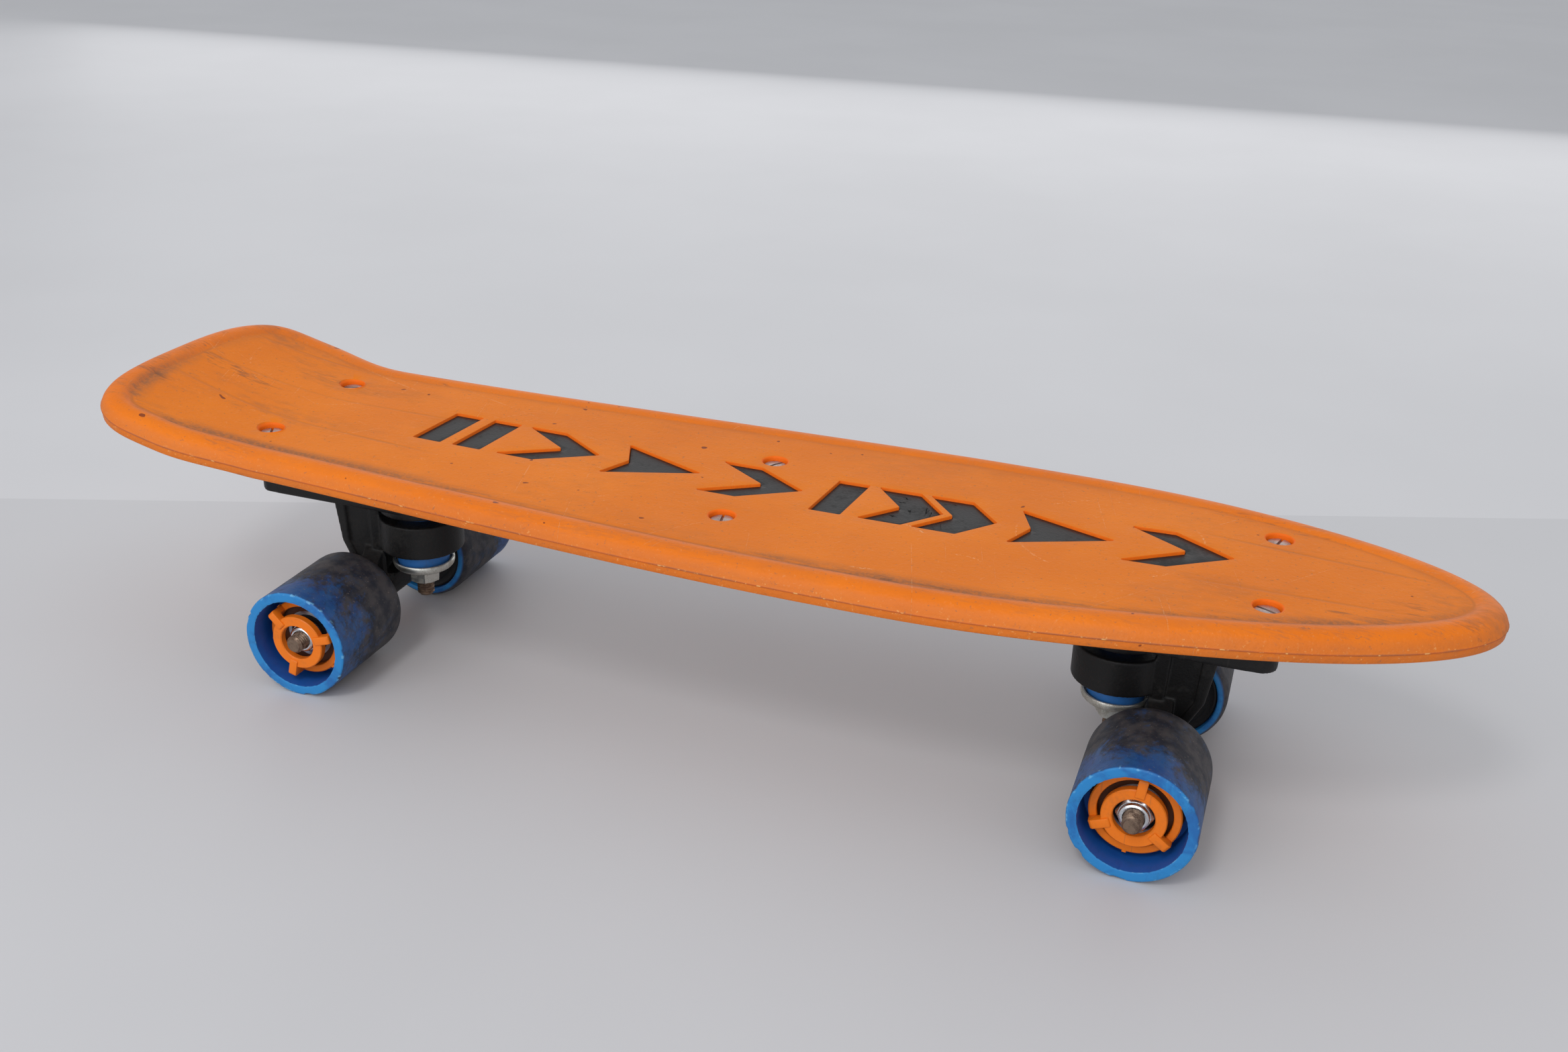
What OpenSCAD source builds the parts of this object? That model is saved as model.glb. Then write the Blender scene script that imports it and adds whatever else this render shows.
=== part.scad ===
// Small moulded cruiser skateboard: a deck with a kick tail on a black
// underframe, two steering trucks and four wheels on ball bearings.
// +X is the nose, +Y the left side, Z = 0 the ground.

/* [Deck] */
// Overall length of the deck
deck_length = 604; // [540:1:730]
// Width across the widest part, just ahead of the middle
deck_width = 155; // [140:1:190]
// Width across the kick tail
tail_width = 139; // [120:1:170]
// Width at the waist, where the kick tail begins
waist_width = 130; // [116:1:160]
// Distance from the tail's end to the waist
waist_back = 84; // [76:1:100]
// Distance from the tail's end to the foot of the kick
kick_length = 94.5; // [70:0.5:115]
// Rise of the tail's end above the foot of the kick
kick_rise = 20; // [0:1:36]
// Sag of the standing area below the foot of the kick
deck_sag = 4; // [0:0.5:8]
// Rise of the nose above the lowest part
nose_rise = 1.5; // [0:0.5:8]
// Thickness of the top panel
panel_t = 5; // [4:0.5:6]
// Height of the rim's crest above the edge line
rim_h = 7; // [6:0.5:9]
// Width of the rounded rim around the panel
rim_w = 13; // [9:0.5:18]
// Depth that the panel lies below the rim's crest
panel_sink = 1; // [0.5:0.25:2]
// Depth of the skirt below the edge line
skirt_h = 4; // [2.5:0.5:8]
// Thickness of the skirt wall
skirt_t = 4; // [3:0.5:6]
// Thickness of the ribs under the deck
rib_t = 2.5; // [1.5:0.5:4]
// Spacing of the cross ribs under the deck
rib_pitch = 45; // [30:1:70]

/* [Emblem cut-outs] */
// Length of the cut-outs across the board
emblem_h = 35; // [20:1:40]
// Sideways place of the cut-outs' middle
emblem_y = 5.5; // [-3:0.5:6]
// Width of a bar, along the board
stroke_w = 14; // [8:0.5:15]
// Width of a chevron's stroke, along the board
chevron_w = 19; // [10:0.5:20]
// Depth of the black pads in the cut-outs below the panel's surface
insert_depth = 1.2; // [0.5:0.1:4]
// Gap between a black pad and the cut-out's wall
insert_gap = 0.3; // [0.3:0.1:1]

/* [Underframe] */
// Width of the underframe
frame_w = 75; // [73:1:84]
// Thickness of the underframe's flat spine
spine_t = 4; // [3:0.5:6]
// Height of a truck pad, from its underside to the panel at the lowest part
pad_h = 20; // [19:0.5:28]
// Reach of a truck pad beyond the axle, away from the middle
pad_out = 42; // [42:1:50]
// Reach of a truck pad beyond the axle, towards the middle
pad_in = 39; // [39:1:50]

/* [Deck screws] */
// Diameter of a deck screw
screw_d = 5; // [4:0.5:6]
// Diameter of the round holes above the screw heads
screw_hole_d = 11; // [10.5:0.5:13]
// Half the distance between the two screws of a row
screw_y = 32.5; // [28:0.5:33]
// Distance from an axle to its outer screw row
screw_out = 34.75; // [34.5:0.25:36]
// Depth of the screw holes, from the panel's surface to the head's seat
head_seat_depth = 5.5; // [5:0.5:8]
// Length clamped between an end screw's head and its nut
screw_grip = 13; // [12.5:0.5:14]
// Length clamped between a middle screw's head and its nut
middle_grip = 5; // [5:0.5:8]

/* [Wheels] */
// Distance between the two axles
wheelbase = 368; // [330:1:460]
// Distance that the wheelbase's middle lies behind the deck's middle
wheelbase_back = 3.5; // [-20:0.5:20]
// Diameter of a wheel
wheel_d = 50; // [46:1:60]
// Width of a wheel
wheel_w = 50; // [48:1:60]
// Width across the outer faces of a pair of wheels
track_w = 156; // [150:1:200]
// Thickness of the tyre's wall around the hub recess
tyre_wall = 4.3; // [3:0.1:5]
// Diameter of the axle
axle_d = 8; // [7:0.5:8]
// Outer diameter of a wheel bearing
bearing_d = 22; // [21:0.5:23]
// Width of a wheel bearing
bearing_w = 7; // [6:0.5:7]
// Depth of the outer bearing below the wheel's outer face
bearing_depth = 12; // [10:0.1:13]

/* [Trucks] */
// Height of the underframe's pads above the axle
truck_h = 51.5; // [50:0.5:60]
// Distance from the axle to the kingpin, along the board
kingpin_in = 19.5; // [19.5:0.5:23]
// Diameter of the kingpin
kingpin_d = 8; // [7:0.5:9]
// Diameter of the hanger's bushing ring
ring_d = 39; // [36:0.5:42]
// Height of the hanger's bushing ring
ring_h = 16; // [14:0.5:18]
// Diameter of the bushings
bushing_d = 25; // [22:0.5:27]
// Width of the hanger's upright web
web_w = 24; // [18:0.5:24]
// Diameter of the hanger's axle beam
beam_d = 18; // [15:0.5:19]
// Diameter of the pivot nose on the hanger
nose_d = 12; // [9:0.5:12]

/* [Hidden] */
$fn = 64;

TRUCKS = ["rear", "front"];
SIDES = ["right", "left"];
DECK_PARTS = ["deck", "underframe", "deck_screws", "deck_screw_nuts"];
TRUCK_PARTS = ["kingpin", "kingpin_nut", "cup_washer", "top_washer", "lower_bushing",
    "upper_bushing", "pivot_cup", "hanger", "axle", "axle_nuts", "axle_washers"];
WHEEL_PARTS = ["tyre", "hub", "dust_cover", "bearing_outer_rings", "bearing_balls",
    "bearing_inner_rings", "bearing_shields", "bearing_spacer"];

running = 0.05; // radial clearance of a running fit
loose = 0.25;   // clearance of a fastener in its hole

// ---- where things lie along the board ----
tail_end = -deck_length / 2;
nose_end = deck_length / 2;
waist_x = tail_end + waist_back;
kick_x = tail_end + kick_length;
corner_l = 36;          // length of the tail's rounded end
waist_blend = 38;       // length of the sweep from waist to tail
flat_from = 40;         // the lowest, level stretch of the deck
flat_to = 90;
nose_blend = 110;       // length over which the nose rises
widest_x = 75;          // the widest station
corner_x = tail_end + corner_l;
rear_axle_x = -wheelbase / 2 - wheelbase_back;
front_axle_x = wheelbase / 2 - wheelbase_back;
rear_screw_x = rear_axle_x - screw_out;
front_screw_x = front_axle_x + screw_out;
middle_screw_x = (rear_screw_x + front_screw_x) / 2;

// ---- heights ----
axle_z = wheel_d / 2;
pad_z = axle_z + truck_h;
panel_low_z = pad_z + pad_h;                     // the panel's underside where it is lowest
edge_low_z = panel_low_z + panel_t + panel_sink - rim_h;
panel_over = rim_h - panel_sink;                 // panel's surface above the edge line
panel_under = panel_over - panel_t;              // panel's underside above the edge line

function smooth(t) = t * t * (3 - 2 * t);
function clamp01(t) = min(1, max(0, t));

// Height of the edge line, where the skirt meets the rim
function edge_z(x) = edge_low_z
    + deck_sag * pow(clamp01((flat_from - x) / (flat_from - kick_x)), 1.7)
    + nose_rise * smooth(clamp01((x - flat_to) / nose_blend))
    + kick_rise * pow(max(0, kick_x - x) / kick_length, 1.6);

// Half the deck's width between the tail's rounded end and the widest station
function half_width(x) =
    x < waist_x
        ? waist_width / 2 + (tail_width - waist_width) / 2 * smooth(clamp01((waist_x - x) / waist_blend))
        : waist_width / 2 + (deck_width - waist_width) / 2
            * smooth(pow(clamp01((x - waist_x) / (widest_x - waist_x)), 0.8));

// Left-hand outline from the tail's end to the nose
outline_left = concat(
    [for (a = [90 : -10 : 0]) [corner_x - corner_l * pow(sin(a), 2 / 3), tail_width / 2 * pow(cos(a), 2 / 3)]],
    [for (i = [1 : 21]) let (x = corner_x + i * (widest_x - corner_x) / 22) [x, half_width(x)]],
    [for (a = [0 : 6 : 90]) [widest_x + (nose_end - widest_x) * pow(sin(a), 2 / 1.85), deck_width / 2 * cos(a)]]);

function mirrored(points) = [for (i = [len(points) - 2 : -1 : 1]) [points[i][0], -points[i][1]]];

profile_steps = 36;
profile_xs = [for (i = [0 : profile_steps]) tail_end + i * deck_length / profile_steps];

module deck_outline(inset = 0) {
    offset(delta = -inset) polygon(concat(outline_left, mirrored(outline_left)));
}

// Everything between two heights that follow the edge line
module edge_band(low, high) {
    rotate([90, 0, 0]) linear_extrude(height = 2 * deck_width, center = true)
        polygon(concat(
            [for (x = profile_xs) [x, edge_z(x) + high]],
            [for (i = [profile_steps : -1 : 0]) [profile_xs[i], edge_z(profile_xs[i]) + low]]));
}

module deck_layer(inset, low, high) {
    intersection() {
        linear_extrude(height = 2 * edge_low_z) deck_outline(inset);
        edge_band(low, high);
    }
}

end_rows = [rear_screw_x, front_screw_x];
middle_row = [middle_screw_x];

module at_screws(rows) {
    for (x = rows, side = [-1, 1])
        translate([x, side * screw_y, edge_z(x) + panel_over - head_seat_depth])
            children();
}

module at_deck_screws() {
    at_screws(concat(end_rows, middle_row)) children();
}

// ---- emblem: ten plain speed marks in a row, none touching the next ----
module slanted_bar(w) {
    polygon([[0, 0], [w, 0], [w + 3, emblem_h], [3, emblem_h]]);
}

module chevron(w) {
    polygon([[0, 0], [chevron_w, 0], [w, emblem_h / 2], [chevron_w, emblem_h], [0, emblem_h],
        [w - chevron_w, emblem_h / 2]]);
}

module dart(w) {
    polygon([[0, 0], [w, emblem_h / 2], [0, emblem_h], [stroke_w / 2, emblem_h / 2]]);
}

module emblem() {
    translate([0, emblem_y - emblem_h / 2]) {
        for (x = [-162, -142, 27]) translate([x, 0]) slanted_bar(stroke_w);
        for (x = [-121, -25, 156]) translate([x, 0]) chevron(44);
        for (x = [48, 71]) translate([x, 0]) chevron(33);
        for (x = [-70, 111]) translate([x, 0]) dart(42);
    }
}

// ---- deck ----
deck_boss_r = screw_hole_d / 2 + 3;
deck_boss_t = 2.5;                       // plastic under a screw's head
rim_round = [[0, 2], [2, 4.5], [5, rim_h]];   // [inset, top] of the rim's rounded layers
side_rib_y = frame_w / 2 + 4;
tail_rib_ys = [-22, 12];
nose_rib_ys = [-19.5, 18];

module rib_plan() {
    for (side = [-1, 1])
        translate([tail_end, side * side_rib_y - rib_t / 2]) square([deck_length, rib_t]);
    for (side = [-1, 1], x = [rear_screw_x + 20 : rib_pitch : front_screw_x - 20])
        translate([x, side > 0 ? side_rib_y : -deck_width]) square([rib_t, deck_width - side_rib_y]);
    for (y = tail_rib_ys)
        translate([tail_end, y - rib_t / 2]) square([rear_screw_x - pad_out + screw_out - tail_end - 2, rib_t]);
    for (y = nose_rib_ys)
        translate([front_axle_x + pad_out + 2, y - rib_t / 2]) square([nose_end - front_axle_x - pad_out - 2, rib_t]);
}

module deck() {
    color([0.93, 0.45, 0.1]) difference() {
        union() {
            difference() {
                for (layer = rim_round) deck_layer(layer[0], -skirt_h, layer[1]);
                deck_layer(rim_w, panel_over, rim_h + 1);
                deck_layer(skirt_t, -skirt_h - 1, panel_under);
            }
            intersection() {
                linear_extrude(height = 2 * edge_low_z) intersection() {
                    rib_plan();
                    deck_outline(skirt_t / 2);
                }
                edge_band(-skirt_h + 1, panel_under + 1);
            }
            at_deck_screws() translate([0, 0, -deck_boss_t])
                cylinder(r = deck_boss_r, h = head_seat_depth + deck_boss_t - panel_t / 2);
        }
        at_deck_screws() {
            cylinder(d = screw_hole_d, h = 4 * head_seat_depth);
            translate([0, 0, -2 * deck_boss_t]) cylinder(d = screw_d + 2 * loose, h = 4 * deck_boss_t);
        }
        linear_extrude(height = 2 * edge_low_z) emblem();
    }
}

// ---- underframe ----
screw_nut_af = 8;
screw_nut_h = 4;
screw_post_r = 10;
pad_corner_r = 7;
boss_back = 12;                          // kingpin's axis to the boss's flat back
stack_gap = 3.4;                         // hanger's ring to the boss above it
washer_t = 1.6;
kingpin_head_h = 5.3;
kingpin_head_af = 13;
kingpin_head_z = pad_z + 7.5;

ring_z = axle_z + 20;                    // ring's bottom face
ring_web_t = 4;                          // wall between the two bushing seats
ring_mid_z = ring_z + ring_h / 2;
ring_top_z = ring_z + ring_h;
boss_z = ring_top_z + stack_gap;

// The steering axis runs from the ring's middle up to the pivot
pivot_x = -24;
pivot_z = pad_z + 3.5;
axis_dx = pivot_x - kingpin_in;
axis_dz = pivot_z - ring_mid_z;
axis_tilt = atan2(axis_dx, axis_dz);     // from +Z towards the outer end
cup_wall = 2.5;
pivot_block_z = pad_z - 3.3;

module along_pivot() {
    translate([pivot_x, 0, pivot_z]) rotate([0, axis_tilt, 0]) children();
}

module rounded_plate(x_low, x_high, w, r, h) {
    linear_extrude(height = h) union() {
        translate([x_low + r, -w / 2]) square([x_high - x_low - 2 * r, w]);
        translate([x_low, -w / 2 + r]) square([x_high - x_low, w - 2 * r]);
        for (x = [x_low + r, x_high - r], y = [-w / 2 + r, w / 2 - r]) translate([x, y]) circle(r);
    }
}

module at_truck(name) {
    if (name == "rear") translate([rear_axle_x, 0, 0]) children();
    else translate([front_axle_x, 0, 0]) rotate([0, 0, 180]) children();
}

module truck_pad_outside() {
    translate([0, 0, pad_z]) rounded_plate(-pad_out, pad_in, frame_w, pad_corner_r, 3 * pad_h);
    translate([0, 0, pivot_block_z]) rounded_plate(-22, 2, web_w, 3, pad_z - pivot_block_z + 1);
    intersection() {
        translate([kingpin_in, 0, boss_z]) cylinder(d = ring_d, h = pad_z - boss_z + 1);
        translate([kingpin_in - boss_back, -ring_d, 0]) cube([2 * ring_d, 2 * ring_d, 2 * pad_z]);
    }
}

module truck_pad_cuts() {
    translate([kingpin_in, 0, boss_z - 1]) cylinder(d = kingpin_d + 2 * loose, h = 3 * pad_h);
    translate([kingpin_in, 0, boss_z - 1]) cylinder(d = bushing_d + 2 * loose, h = washer_t + 1);
    translate([kingpin_in, 0, kingpin_head_z])
        cylinder(d = (kingpin_head_af + 2 * loose) / cos(30), h = 2 * pad_h, $fn = 6);
    intersection() {
        along_pivot() translate([0, 0, -30]) cylinder(d = nose_d + 2 * cup_wall, h = 30 + nose_d / 2 + cup_wall);
        translate([pivot_x - 20, -20, pivot_block_z - 1]) cube([50, 40, 40]);
    }
    for (side = [-1, 1])
        translate([1, side * 27 - 6, pad_z - 1]) cube([32, 12, 10]);
}

module frame_cuts() {
    for (t = TRUCKS) at_truck(t) truck_pad_cuts();
    at_deck_screws() {
        translate([0, 0, -deck_boss_t]) cylinder(r = deck_boss_r + loose, h = 4 * head_seat_depth);
        translate([0, 0, -3 * screw_grip]) cylinder(d = screw_d + 2 * loose, h = 4 * screw_grip);
    }
    at_screws(end_rows) nut_pocket(screw_grip);
    at_screws(middle_row) nut_pocket(middle_grip);
}

module nut_pocket(grip) {
    translate([0, 0, -grip - 20]) cylinder(d = (screw_nut_af + 2 * loose) / cos(30), h = 20, $fn = 6);
}

// Pads that stand up into the deck's cut-outs
module emblem_pads() {
    intersection() {
        linear_extrude(height = 2 * edge_low_z) offset(delta = -insert_gap) emblem();
        edge_band(panel_under - spine_t / 2, panel_over - insert_depth);
    }
}

module frame_body() {
    intersection() {
        union() {
            for (t = TRUCKS) at_truck(t) truck_pad_outside();
            intersection() {
                rounded_plate(rear_axle_x - pad_out, front_axle_x + pad_out, frame_w, pad_corner_r,
                    2 * edge_low_z);
                edge_band(panel_under - spine_t, panel_under + 1);
            }
            at_screws(middle_row) translate([0, 0, -middle_grip - screw_nut_h])
                cylinder(r = screw_post_r, h = middle_grip + screw_nut_h);
        }
        translate([-deck_length, -frame_w / 2, 0]) cube([2 * deck_length, frame_w, 2 * edge_low_z]);
        edge_band(-edge_low_z, panel_under);
    }
}

module underframe() {
    color([0.1, 0.1, 0.11]) {
        difference() {
            frame_body();
            frame_cuts();
        }
        emblem_pads();
    }
}

module deck_screw(grip) {
    head_r = screw_hole_d / 2 - 0.4;
    head_h = 3.7;
    difference() {
        union() {
            cylinder(r = head_r, h = head_h);
            translate([0, 0, -grip - screw_nut_h - 1.5]) cylinder(d = screw_d, h = grip + screw_nut_h + 2);
        }
        translate([-head_r - 1, -0.6, head_h - 1.4]) cube([2 * head_r + 2, 1.2, 2]);
    }
}

module deck_screws() {
    color([0.7, 0.68, 0.64]) {
        at_screws(end_rows) deck_screw(screw_grip);
        at_screws(middle_row) deck_screw(middle_grip);
    }
}

module deck_screw_nut(grip) {
    translate([0, 0, -grip - screw_nut_h]) difference() {
        cylinder(d = screw_nut_af / cos(30), h = screw_nut_h, $fn = 6);
        translate([0, 0, -1]) cylinder(d = screw_d, h = screw_nut_h + 2);
    }
}

module deck_screw_nuts() {
    color([0.6, 0.6, 0.62]) {
        at_screws(end_rows) deck_screw_nut(screw_grip);
        at_screws(middle_row) deck_screw_nut(middle_grip);
    }
}

// ---- truck: drawn with +X towards the middle of the board ----
cup_rim_z = ring_z - 6.7;
cup_h = 4.3;
cup_t = 1.8;
cup_r = bushing_d / 2 + 2;
cup_low_z = cup_rim_z - cup_h;
kingpin_nut_h = 7.5;
kingpin_end = 7.8;                       // thread below the nut
seat_r = bushing_d / 2 + 0.3;
upper_d = bushing_d - 5;                 // the upper bushing is the smaller one

module ring_at(d_out, d_in, h) {
    difference() {
        cylinder(d = d_out, h = h);
        translate([0, 0, -1]) cylinder(d = d_in, h = h + 2);
    }
}

module kingpin() {
    low = cup_low_z - kingpin_nut_h - kingpin_end;
    color([0.45, 0.4, 0.36]) translate([kingpin_in, 0, 0]) {
        translate([0, 0, low]) cylinder(d1 = kingpin_d - 2, d2 = kingpin_d, h = 1);
        translate([0, 0, low + 1]) cylinder(d = kingpin_d, h = kingpin_head_z - low - 0.5);
        translate([0, 0, kingpin_head_z]) cylinder(d = kingpin_head_af / cos(30), h = kingpin_head_h, $fn = 6);
    }
}

module kingpin_nut() {
    color([0.75, 0.74, 0.7]) translate([kingpin_in, 0, cup_low_z - kingpin_nut_h]) difference() {
        cylinder(d = kingpin_head_af / cos(30), h = kingpin_nut_h, $fn = 6);
        translate([0, 0, -1]) cylinder(d = kingpin_d, h = kingpin_nut_h + 2);
    }
}

module cup_washer() {
    color([0.8, 0.8, 0.78]) translate([kingpin_in, 0, cup_low_z]) difference() {
        cylinder(r = cup_r, h = cup_h);
        translate([0, 0, cup_t]) cylinder(r = cup_r - cup_t, h = cup_h);
        translate([0, 0, -1]) cylinder(d = kingpin_d + 2 * running, h = cup_h);
    }
}

module top_washer() {
    color([0.6, 0.6, 0.6]) translate([kingpin_in, 0, boss_z])
        ring_at(bushing_d, kingpin_d + 2 * running, washer_t);
}

module lower_bushing() {
    low = cup_low_z + cup_t;
    high = ring_mid_z - ring_web_t / 2;
    color([0.15, 0.42, 0.7]) translate([kingpin_in, 0, low])
        ring_at(bushing_d - 0.6, kingpin_d + 2 * loose, high - low);
}

module upper_bushing() {
    low = ring_mid_z + ring_web_t / 2;
    color([0.15, 0.42, 0.7]) translate([kingpin_in, 0, low])
        ring_at(upper_d, kingpin_d + 2 * loose, boss_z - low);
}

module pivot_cup() {
    color([0.12, 0.12, 0.13]) intersection() {
        along_pivot() difference() {
            translate([0, 0, -30]) cylinder(d = nose_d + 2 * cup_wall, h = 30 + nose_d / 2 + cup_wall);
            translate([0, 0, -31]) cylinder(d = nose_d + 2 * running, h = 31);
            sphere(d = nose_d + 2 * running);
        }
        translate([pivot_x - 20, -20, pivot_block_z]) cube([50, 40, 40]);
    }
}

beam_end = track_w / 2 - wheel_w - 2;    // the beam's half length between the wheels
spigot_end = track_w / 2 - wheel_w + bearing_depth - 1;
spigot_d = axle_d + 4;
web_top_z = pivot_block_z - 2.5;         // clear of the pivot block at full lean
cheek_sink = 1.5;                        // depth of the web's cheeks below the posts

module upright(w, points) {
    rotate([90, 0, 0]) linear_extrude(height = w, center = true) polygon(points);
}

// The upright web, sunk between two full-width posts
module hanger_web() {
    ring_side = kingpin_in - ring_d / 2;
    upright(web_w - 2 * cheek_sink, [
        [-6, axle_z - 2], [-beam_d / 2, axle_z + 4], [-17, axle_z + 20], [-20.5, web_top_z - 2], [-19, web_top_z],
        [2, web_top_z], [4, ring_top_z + 5], [ring_side + 2, ring_top_z - 1], [kingpin_in - 2, ring_top_z - 2],
        [kingpin_in - 2, ring_z + 2], [ring_side + 12, ring_z - 3], [beam_d / 2, axle_z + 1]]);
    upright(web_w, [
        [-17, axle_z + 20], [-20.5, web_top_z - 2], [-19, web_top_z], [-14.5, web_top_z], [-13, axle_z + 20],
        [-5, axle_z + 4], [-beam_d / 2, axle_z + 4]]);
    upright(web_w, [
        [-2, web_top_z], [2, web_top_z], [4, ring_top_z + 5], [5, axle_z + 20], [beam_d / 2, axle_z + 4],
        [4, axle_z + 4], [-1, axle_z + 20]]);
}

module hanger_wings() {
    rotate([90, 0, 90]) linear_extrude(height = 10, center = true) polygon([
        [-beam_end, axle_z + beam_d / 2 - 3], [-web_w / 2 + 1, ring_z - 1], [web_w / 2 - 1, ring_z - 1],
        [beam_end, axle_z + beam_d / 2 - 3], [beam_end, axle_z], [-beam_end, axle_z]]);
}

module hanger() {
    color([0.08, 0.08, 0.09]) difference() {
        union() {
            translate([kingpin_in, 0, ring_z]) cylinder(d = ring_d, h = ring_h);
            hanger_web();
            hanger_wings();
            translate([0, 0, axle_z]) rotate([90, 0, 0]) {
                cylinder(d = beam_d, h = 2 * beam_end, center = true);
                cylinder(d = spigot_d, h = 2 * spigot_end, center = true);
            }
            along_pivot() {
                sphere(d = nose_d);
                translate([0, 0, -22]) cylinder(d = nose_d, h = 22);
            }
        }
        translate([kingpin_in, 0, ring_mid_z + ring_web_t / 2]) cylinder(d = upper_d + 0.6, h = ring_h);
        translate([kingpin_in, 0, ring_z - 1]) cylinder(r = seat_r, h = ring_h / 2 - ring_web_t / 2 + 1);
        translate([kingpin_in, 0, ring_z]) cylinder(d = kingpin_d + 5, h = ring_h);
        translate([kingpin_in, 0, cup_low_z - 2]) cylinder(r = cup_r + 3, h = ring_z - cup_low_z + 2);
        translate([kingpin_in, 0, 0]) cylinder(d = kingpin_head_af / cos(30) + 5, h = ring_z);
        translate([0, 0, axle_z]) rotate([90, 0, 0]) cylinder(d = axle_d, h = 2 * track_w, center = true);
    }
}

axle_end = track_w / 2 + 0.7;

module both_axle_ends(y) {
    for (side = [-1, 1]) translate([0, side * y, axle_z]) rotate([side * -90, 0, 0]) children();
}

module axle() {
    color([0.55, 0.5, 0.46]) {
        translate([0, 0, axle_z]) rotate([90, 0, 0]) cylinder(d = axle_d, h = 2 * axle_end - 2, center = true);
        both_axle_ends(axle_end - 1) cylinder(d1 = axle_d, d2 = axle_d - 2, h = 1);
    }
}

axle_washer_t = 1;
axle_nut_h = 4;
axle_nut_collar_h = 2;

module axle_nuts() {
    color([0.75, 0.76, 0.78]) both_axle_ends(track_w / 2 - bearing_depth + axle_washer_t) difference() {
        union() {
            cylinder(d = 13 / cos(30), h = axle_nut_h, $fn = 6);
            cylinder(d = 12, h = axle_nut_h + axle_nut_collar_h);
        }
        translate([0, 0, -1]) cylinder(d = axle_d, h = 20);
    }
}

module axle_washers() {
    color([0.6, 0.6, 0.62]) {
        both_axle_ends(track_w / 2 - bearing_depth) ring_at(spigot_d, axle_d, axle_washer_t);
        both_axle_ends(spigot_end) ring_at(spigot_d, axle_d, 1);
    }
}

// ---- wheel: drawn about Z, with its outer face at Z = 0 and the board at +Z ----
wheel_r = wheel_d / 2;
recess_r = wheel_r - tyre_wall;
hub_r = recess_r - 2.2;
barrel_r = 16.8;
lip_r = 17.8;
mouth_r = 14.5;
barrel_z = 8.6;
hub_z = 17;                              // where the hub starts to fill the tyre
cage_in = 8.1;
cage_out = 12.6;
cage_t = 3.5;
arm_w = 4;
inner_bearing_z = wheel_w - bearing_depth - bearing_w;
face_edge = 1;                           // rounding of the tread at the outer face
inner_edge = min(4, tyre_wall - 0.3);    // rounding of the tread at the inner face

function is_rear(t) = t == "rear";
function cage_depth(t) = is_rear(t) ? 2 : 5;
function cage_angle(t, s) = is_rear(t) ? (s == "right" ? 16 : 65) : (s == "right" ? 83 : 14);

module at_wheel(t, s) {
    at_truck_axle(t) translate([0, (s == "right" ? -1 : 1) * track_w / 2, axle_z])
        rotate([s == "right" ? -90 : 90, 0, 0]) children();
}

module at_truck_axle(t) {
    translate([is_rear(t) ? rear_axle_x : front_axle_x, 0, 0]) children();
}

module tyre() {
    color([0.14, 0.36, 0.6]) rotate_extrude($fn = 96) polygon(concat(
        [[recess_r, 0]],
        [for (a = [0 : 30 : 90]) [wheel_r - face_edge * (1 - sin(a)), face_edge * (1 - cos(a))]],
        [for (a = [0 : 15 : 75]) [wheel_r - inner_edge * (1 - cos(a)), wheel_w - inner_edge * (1 - sin(a))]],
        [[wheel_r - inner_edge, wheel_w], [recess_r, wheel_w], [recess_r, wheel_w - hub_z], [hub_r, wheel_w - hub_z],
            [hub_r, hub_z], [recess_r, hub_z]]));
}

module hub_arm(depth) {
    translate([cage_in + 1, -arm_w / 2, depth - 0.7]) cube([cage_out - cage_in, arm_w, cage_t]);
    translate([cage_out - 1, -arm_w / 2, depth - 0.7]) cube([lip_r - cage_out + 0.6, arm_w, barrel_z - depth + 2]);
}

module hub(depth, angle) {
    bore_r = bearing_d / 2;
    color([0.93, 0.47, 0.1]) rotate([0, 0, angle]) {
        rotate([0, 0, 60]) rotate_extrude() polygon([
            [mouth_r, barrel_z], [lip_r, barrel_z], [lip_r, barrel_z + 1.5], [barrel_r, barrel_z + 1.5],
            [barrel_r, hub_z], [hub_r, hub_z], [hub_r, wheel_w - hub_z], [barrel_r, wheel_w - hub_z],
            [barrel_r, wheel_w - bearing_depth + 1], [bore_r, wheel_w - bearing_depth + 1],
            [bore_r, inner_bearing_z], [bore_r - 1.5, inner_bearing_z],
            [bore_r - 1.5, bearing_depth + bearing_w], [bore_r, bearing_depth + bearing_w],
            [bore_r, bearing_depth], [mouth_r, bearing_depth]]);
        difference() {
            for (i = [0 : 2]) rotate([0, 0, 120 * i]) hub_arm(depth);
            rotate([0, 0, 60]) translate([0, 0, depth + cage_t]) cylinder(r = mouth_r + 0.5, h = 10);
        }
        rotate([0, 0, 60]) translate([0, 0, depth]) ring_at(2 * cage_out, 2 * cage_in, cage_t);
    }
}

module dust_cover() {
    cover_z = wheel_w - 3.5;
    color([0.09, 0.09, 0.1]) {
        translate([0, 0, cover_z]) ring_at(2 * recess_r - 0.3, spigot_d + 3, 2);
        translate([0, 0, wheel_w - bearing_depth + 1])
            ring_at(2 * barrel_r - 3, 2 * barrel_r - 6, cover_z - wheel_w + bearing_depth - 0.5);
    }
}

race_in = axle_d / 2 + 2;                // outer radius of the inner ring
race_out = bearing_d / 2 - 1.7;          // inner radius of the outer ring
ball_orbit = (race_in + race_out) / 2;
ball_r = (race_out - race_in) / 2 - running;

module both_bearings() {
    for (z = [bearing_depth, inner_bearing_z]) translate([0, 0, z]) children();
}

module bearing_outer_rings() {
    color([0.75, 0.75, 0.77]) both_bearings() ring_at(bearing_d, 2 * race_out, bearing_w);
}

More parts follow.
